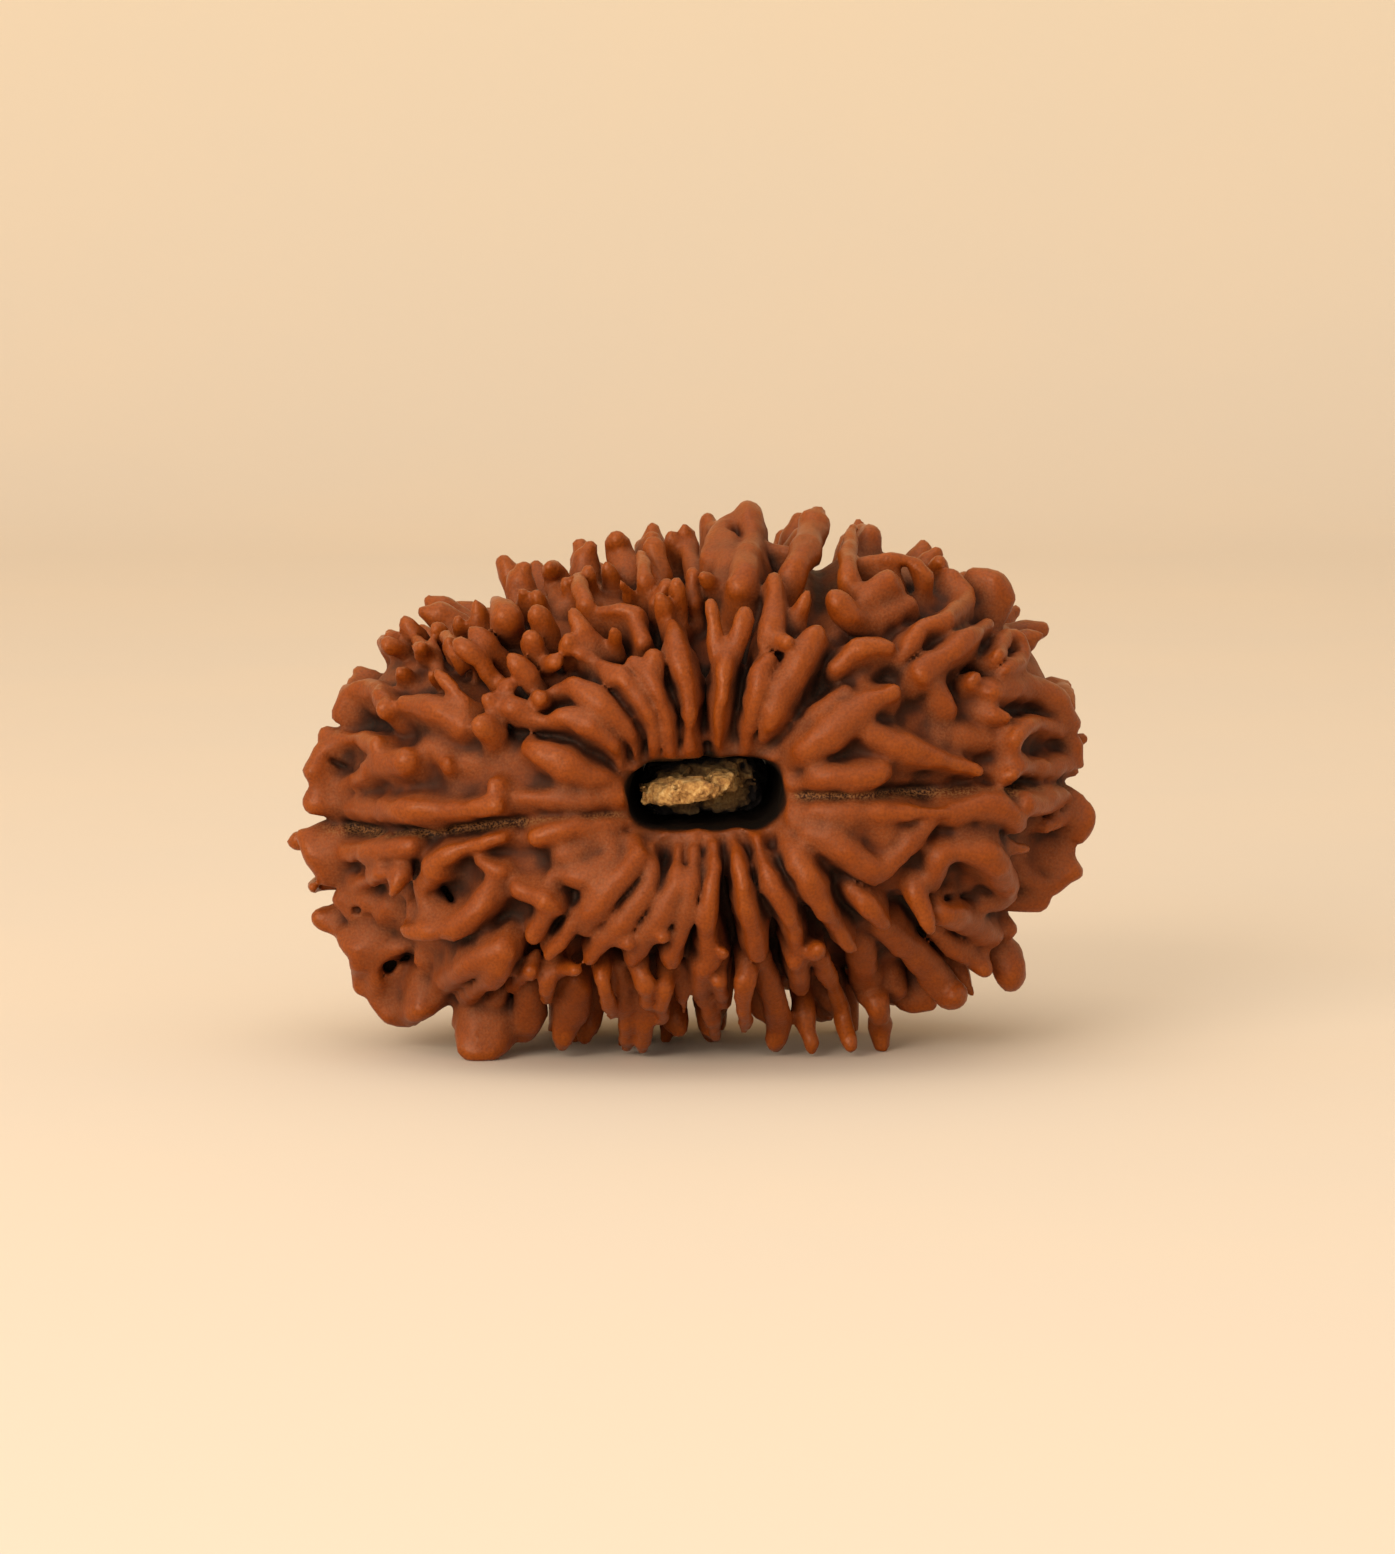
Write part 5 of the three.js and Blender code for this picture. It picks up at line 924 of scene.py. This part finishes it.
def makeBead():
    lines = cleftLines()
    axes, field = beadField(lines)
    verts, faces = surfaceOf(axes, field)
    print("surface:", len(verts), "points,", len(faces), "faces")
    rough = meshObject("beadRough", verts, faces)
    thin = rough.modifiers.new("thin", "DECIMATE")
    thin.ratio = min(1, bead["faces"] / (2 * len(faces)))
    mesh = bpy.data.meshes.new_from_object(rough.evaluated_get(bpy.context.evaluated_depsgraph_get()))
    bpy.data.objects.remove(rough)
    made = bpy.data.objects.new("rudrakshaStone", mesh)
    bpy.context.scene.collection.objects.link(made)
    mesh.shade_smooth()
    at = np.empty(len(mesh.vertices) * 3, np.float32)
    mesh.vertices.foreach_get("co", at)
    at = at.reshape(-1, 3) / mm - centring
    # How closed in each point is; the material paints the folds near black from it, as painted shade.
    crowd = blurred(1 / (1 + np.exp(np.clip(field / 0.12, -30, 30))), 0.55)
    setValues(made, "hollow", valueAt(axes, crowd, at))
    left, right = cleftDistances([lines[k] for k in shell["seamClefts"]], at)
    setValues(made, "seam", np.clip(1.2 - np.minimum(left, right) / shell["seamWidth"], 0, 1))
    # Painted shade on the channel's wall, whole along it and fading out at both mouths.
    channelShadeShare = np.clip(2.2 - np.abs(channelDistance(at)) / 0.25, 0, 1)
    setValues(made, "channel", channelShadeShare * np.clip((9.4 - np.abs(at[:, 1])) / 0.8, 0, 1))
    mesh.materials.append(rudrakshaShell())
    print("stone:", len(mesh.polygons), "faces")
    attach(made, "root")
    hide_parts("bead")


pith = dict(
    voxel=0.085, low=(-3.6, -9, 11.2), high=(3.9, 3.6, 14.8),
    lumps=[((-0.85, -6.9, 13.02), (1.5, 1.4, 0.58), 0.13), ((1.15, -6.8, 13.42), (0.66, 1.2, 0.44), 0.1),
           ((0.3, -3.4, 13.0), (2.6, 2.5, 1.3), 0.1), ((0.4, 0.4, 12.8), (2.9, 2.8, 1.4), 0)],
    blend=0.25, clear=0.25,               # lumps run together by this, and stay this far off the wall
    crumbs=[(1.1, 0.16), (0.42, 0.14), (0.19, 0.08)],
    colours=[(0.3, "#5a3a1c"), (0.43, "#916532"), (0.52, "#b38547"), (0.62, "#cba365"), (0.8, "#e6cb98")],
    # Painted shade: the pith runs to near black between these two places along the channel, further in.
    deep="#140a05", deepStart=-6.5, deepEnd=-5.4,
)


# Dried pith, a cork-like crumb: matt, each grain catching light on its own, and painted near black further into
# the channel, painted shade inside the hole.
def driedPith():
    def inputs(tree):
        coarse, fine = grain(tree, 0.55, 3, 0.65), grain(tree, 0.17, 3, 0.7)
        blend = node(tree, "ShaderNodeMath", {0: coarse, 1: fine}, operation="ADD").outputs["Value"]
        colour = colourRamp(tree, times(tree, blend, 0.5), pith["colours"])
        place = node(tree, "ShaderNodeTexCoord").outputs["Object"]
        along = node(tree, "ShaderNodeSeparateXYZ", {"Vector": place}).outputs["Y"]
        # Painted shade, darker further into the channel.
        deep = remap(tree, along, pith["deepStart"] * mm, pith["deepEnd"] * mm)
        crumbs = node(tree, "ShaderNodeBump", {"Height": fine, "Strength": 0.8, "Distance": 0.06 * mm})
        return {"Base Color": overlay(tree, deep, colour, linear(pith["deep"])), "Roughness": 0.95,
                "Normal": crumbs.outputs["Normal"]}
    return newMaterial("driedPith", inputs)


# The pith's field: boxy lumps joined, made crumbly by three grains of lumps and cut clear of the wall.
def makePith():
    axes = [np.arange(a, b, pith["voxel"]) for a, b in zip(pith["low"], pith["high"])]
    p = gridPoints(axes)
    field = np.full(p.shape[:3], 9.0)
    for centre, sizes, lean in pith["lumps"]:
        x, y, z = np.moveaxis(p - centre, -1, 0)
        turned = np.stack([x * cos(lean) + z * sin(lean), y, z * cos(lean) - x * sin(lean)], axis=-1)
        level = ((turned / sizes) ** 4).sum(axis=-1) ** 0.25
        field = joined(field, (level - 1) * min(sizes), pith["blend"])
    for seed, (spacing, height) in enumerate(pith["crumbs"]):
        field += height * lumps(p, spacing, 30 + seed)
    field = np.maximum(field, channelDistance(p) + pith["clear"])
    made = meshObject("pithCrumb", *surfaceOf(axes, field))
    made.data.shade_flat()
    made.data.materials.append(driedPith())
    print("pith:", len(made.data.polygons), "faces")
    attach(made, "root")
    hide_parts("pith")


studio = dict(
    # The floor is darker than the wall as painted shade, evening out the lamps, which light the floor more than
    # the wall.
    floor="#d6c7b3", wall="#ffe7b6", blotch="#efd2ab", blotchShare=0.1, paintedWallLightTop=260,
    front=-700, bend=260, bendRadius=160, top=700, halfWidth=900,
    air="#fff6ec", airStrength=0.87,
    lights=[("overheadSoftbox", (-40, -60, 420), 380, 0.56, "#fff6ec"),
            ("frontSoftbox", (-240, -380, 180), 300, 2.0, "#fff4e8")],
)


# Matt cream card, a little deeper in colour up the wall, with faint wide blotches. The wall is painted
# lighter than the floor, painted light and shade that makes up for the lamps lighting the floor more.
def paleCard():
    def inputs(tree):
        place = node(tree, "ShaderNodeTexCoord").outputs["Object"]
        high = node(tree, "ShaderNodeSeparateXYZ", {"Vector": place}).outputs["Z"]
        # Painted light: lighter and yellower from the floor up to this height on the wall.
        paintedWallLight = remap(tree, high, 0, studio["paintedWallLightTop"] * mm)
        colour = overlay(tree, paintedWallLight, linear(studio["floor"]), linear(studio["wall"]))
        blotch = remap(tree, grain(tree, 40, 3), 0.4, 0.7, 0, studio["blotchShare"])
        return {"Base Color": overlay(tree, blotch, colour, linear(studio["blotch"])), "Roughness": 0.95,
                "Specular IOR Level": 0.1}
    return newMaterial("paleCard", inputs)


# Pale paper that runs from the floor up behind the bead in one bend.
def makePaper():
    turn = np.linspace(0, pi / 2, 25)
    y = np.r_[studio["front"], studio["bend"] + studio["bendRadius"] * np.sin(turn),
              studio["bend"] + studio["bendRadius"]]
    z = np.r_[0, studio["bendRadius"] * (1 - np.cos(turn)), studio["top"]]
    x = np.array([-1, 1])[:, None] * studio["halfWidth"]
    verts = np.stack([x + 0 * y, y + 0 * x, z + 0 * x], axis=-1).reshape(-1, 3)
    count = len(y)
    paper = meshObject("paper", verts, [(i, count + i, count + i + 1, i + 1) for i in range(count - 1)])
    paper.data.materials.append(paleCard())


def makeLights():
    scene = bpy.context.scene
    scene.world = scene.world or bpy.data.worlds.new("world")
    scene.world.use_nodes = True
    tree = scene.world.node_tree
    tree.nodes.clear()
    air = node(tree, "ShaderNodeBackground", {"Color": linear(studio["air"]), "Strength": studio["airStrength"]})
    node(tree, "ShaderNodeOutputWorld", {"Surface": air.outputs["Background"]})
    for name, place, size, power, colour in studio["lights"]:
        lamp = bpy.data.lights.new(name, "AREA")
        lamp.size, lamp.energy, lamp.color = size * mm, power, linear(colour)[:3]
        made = bpy.data.objects.new(name, lamp)
        scene.collection.objects.link(made)
        made.location = Vector(place) * mm
        aim = Vector((0, 0, sight["aimHeight"])) - Vector(place)
        made.rotation_euler = aim.to_track_quat("-Z", "Y").to_euler()


view = dict(width=1395, height=1554, pixelsPerMm=21.2)


# The camera looks along the layout's sight, with a lens that frames the photo's height at the aim.
def makeCamera():
    camera = bpy.data.cameras.new("camera")
    camera.sensor_width = 36
    camera.lens = camera.sensor_width * sight["distance"] / (view["height"] / view["pixelsPerMm"])
    camera.clip_start, camera.clip_end = 0.01, 10
    made = bpy.data.objects.new("camera", camera)
    bpy.context.scene.collection.objects.link(made)
    made.location = (eye + centring) * mm
    made.rotation_euler = (pi / 2 - sight["elevation"], 0, 0)
    bpy.context.scene.camera = made


bpy.context.scene.view_settings.view_transform = "Standard"
makeCamera()
makePaper()
makeLights()
makeBead()
makePith()
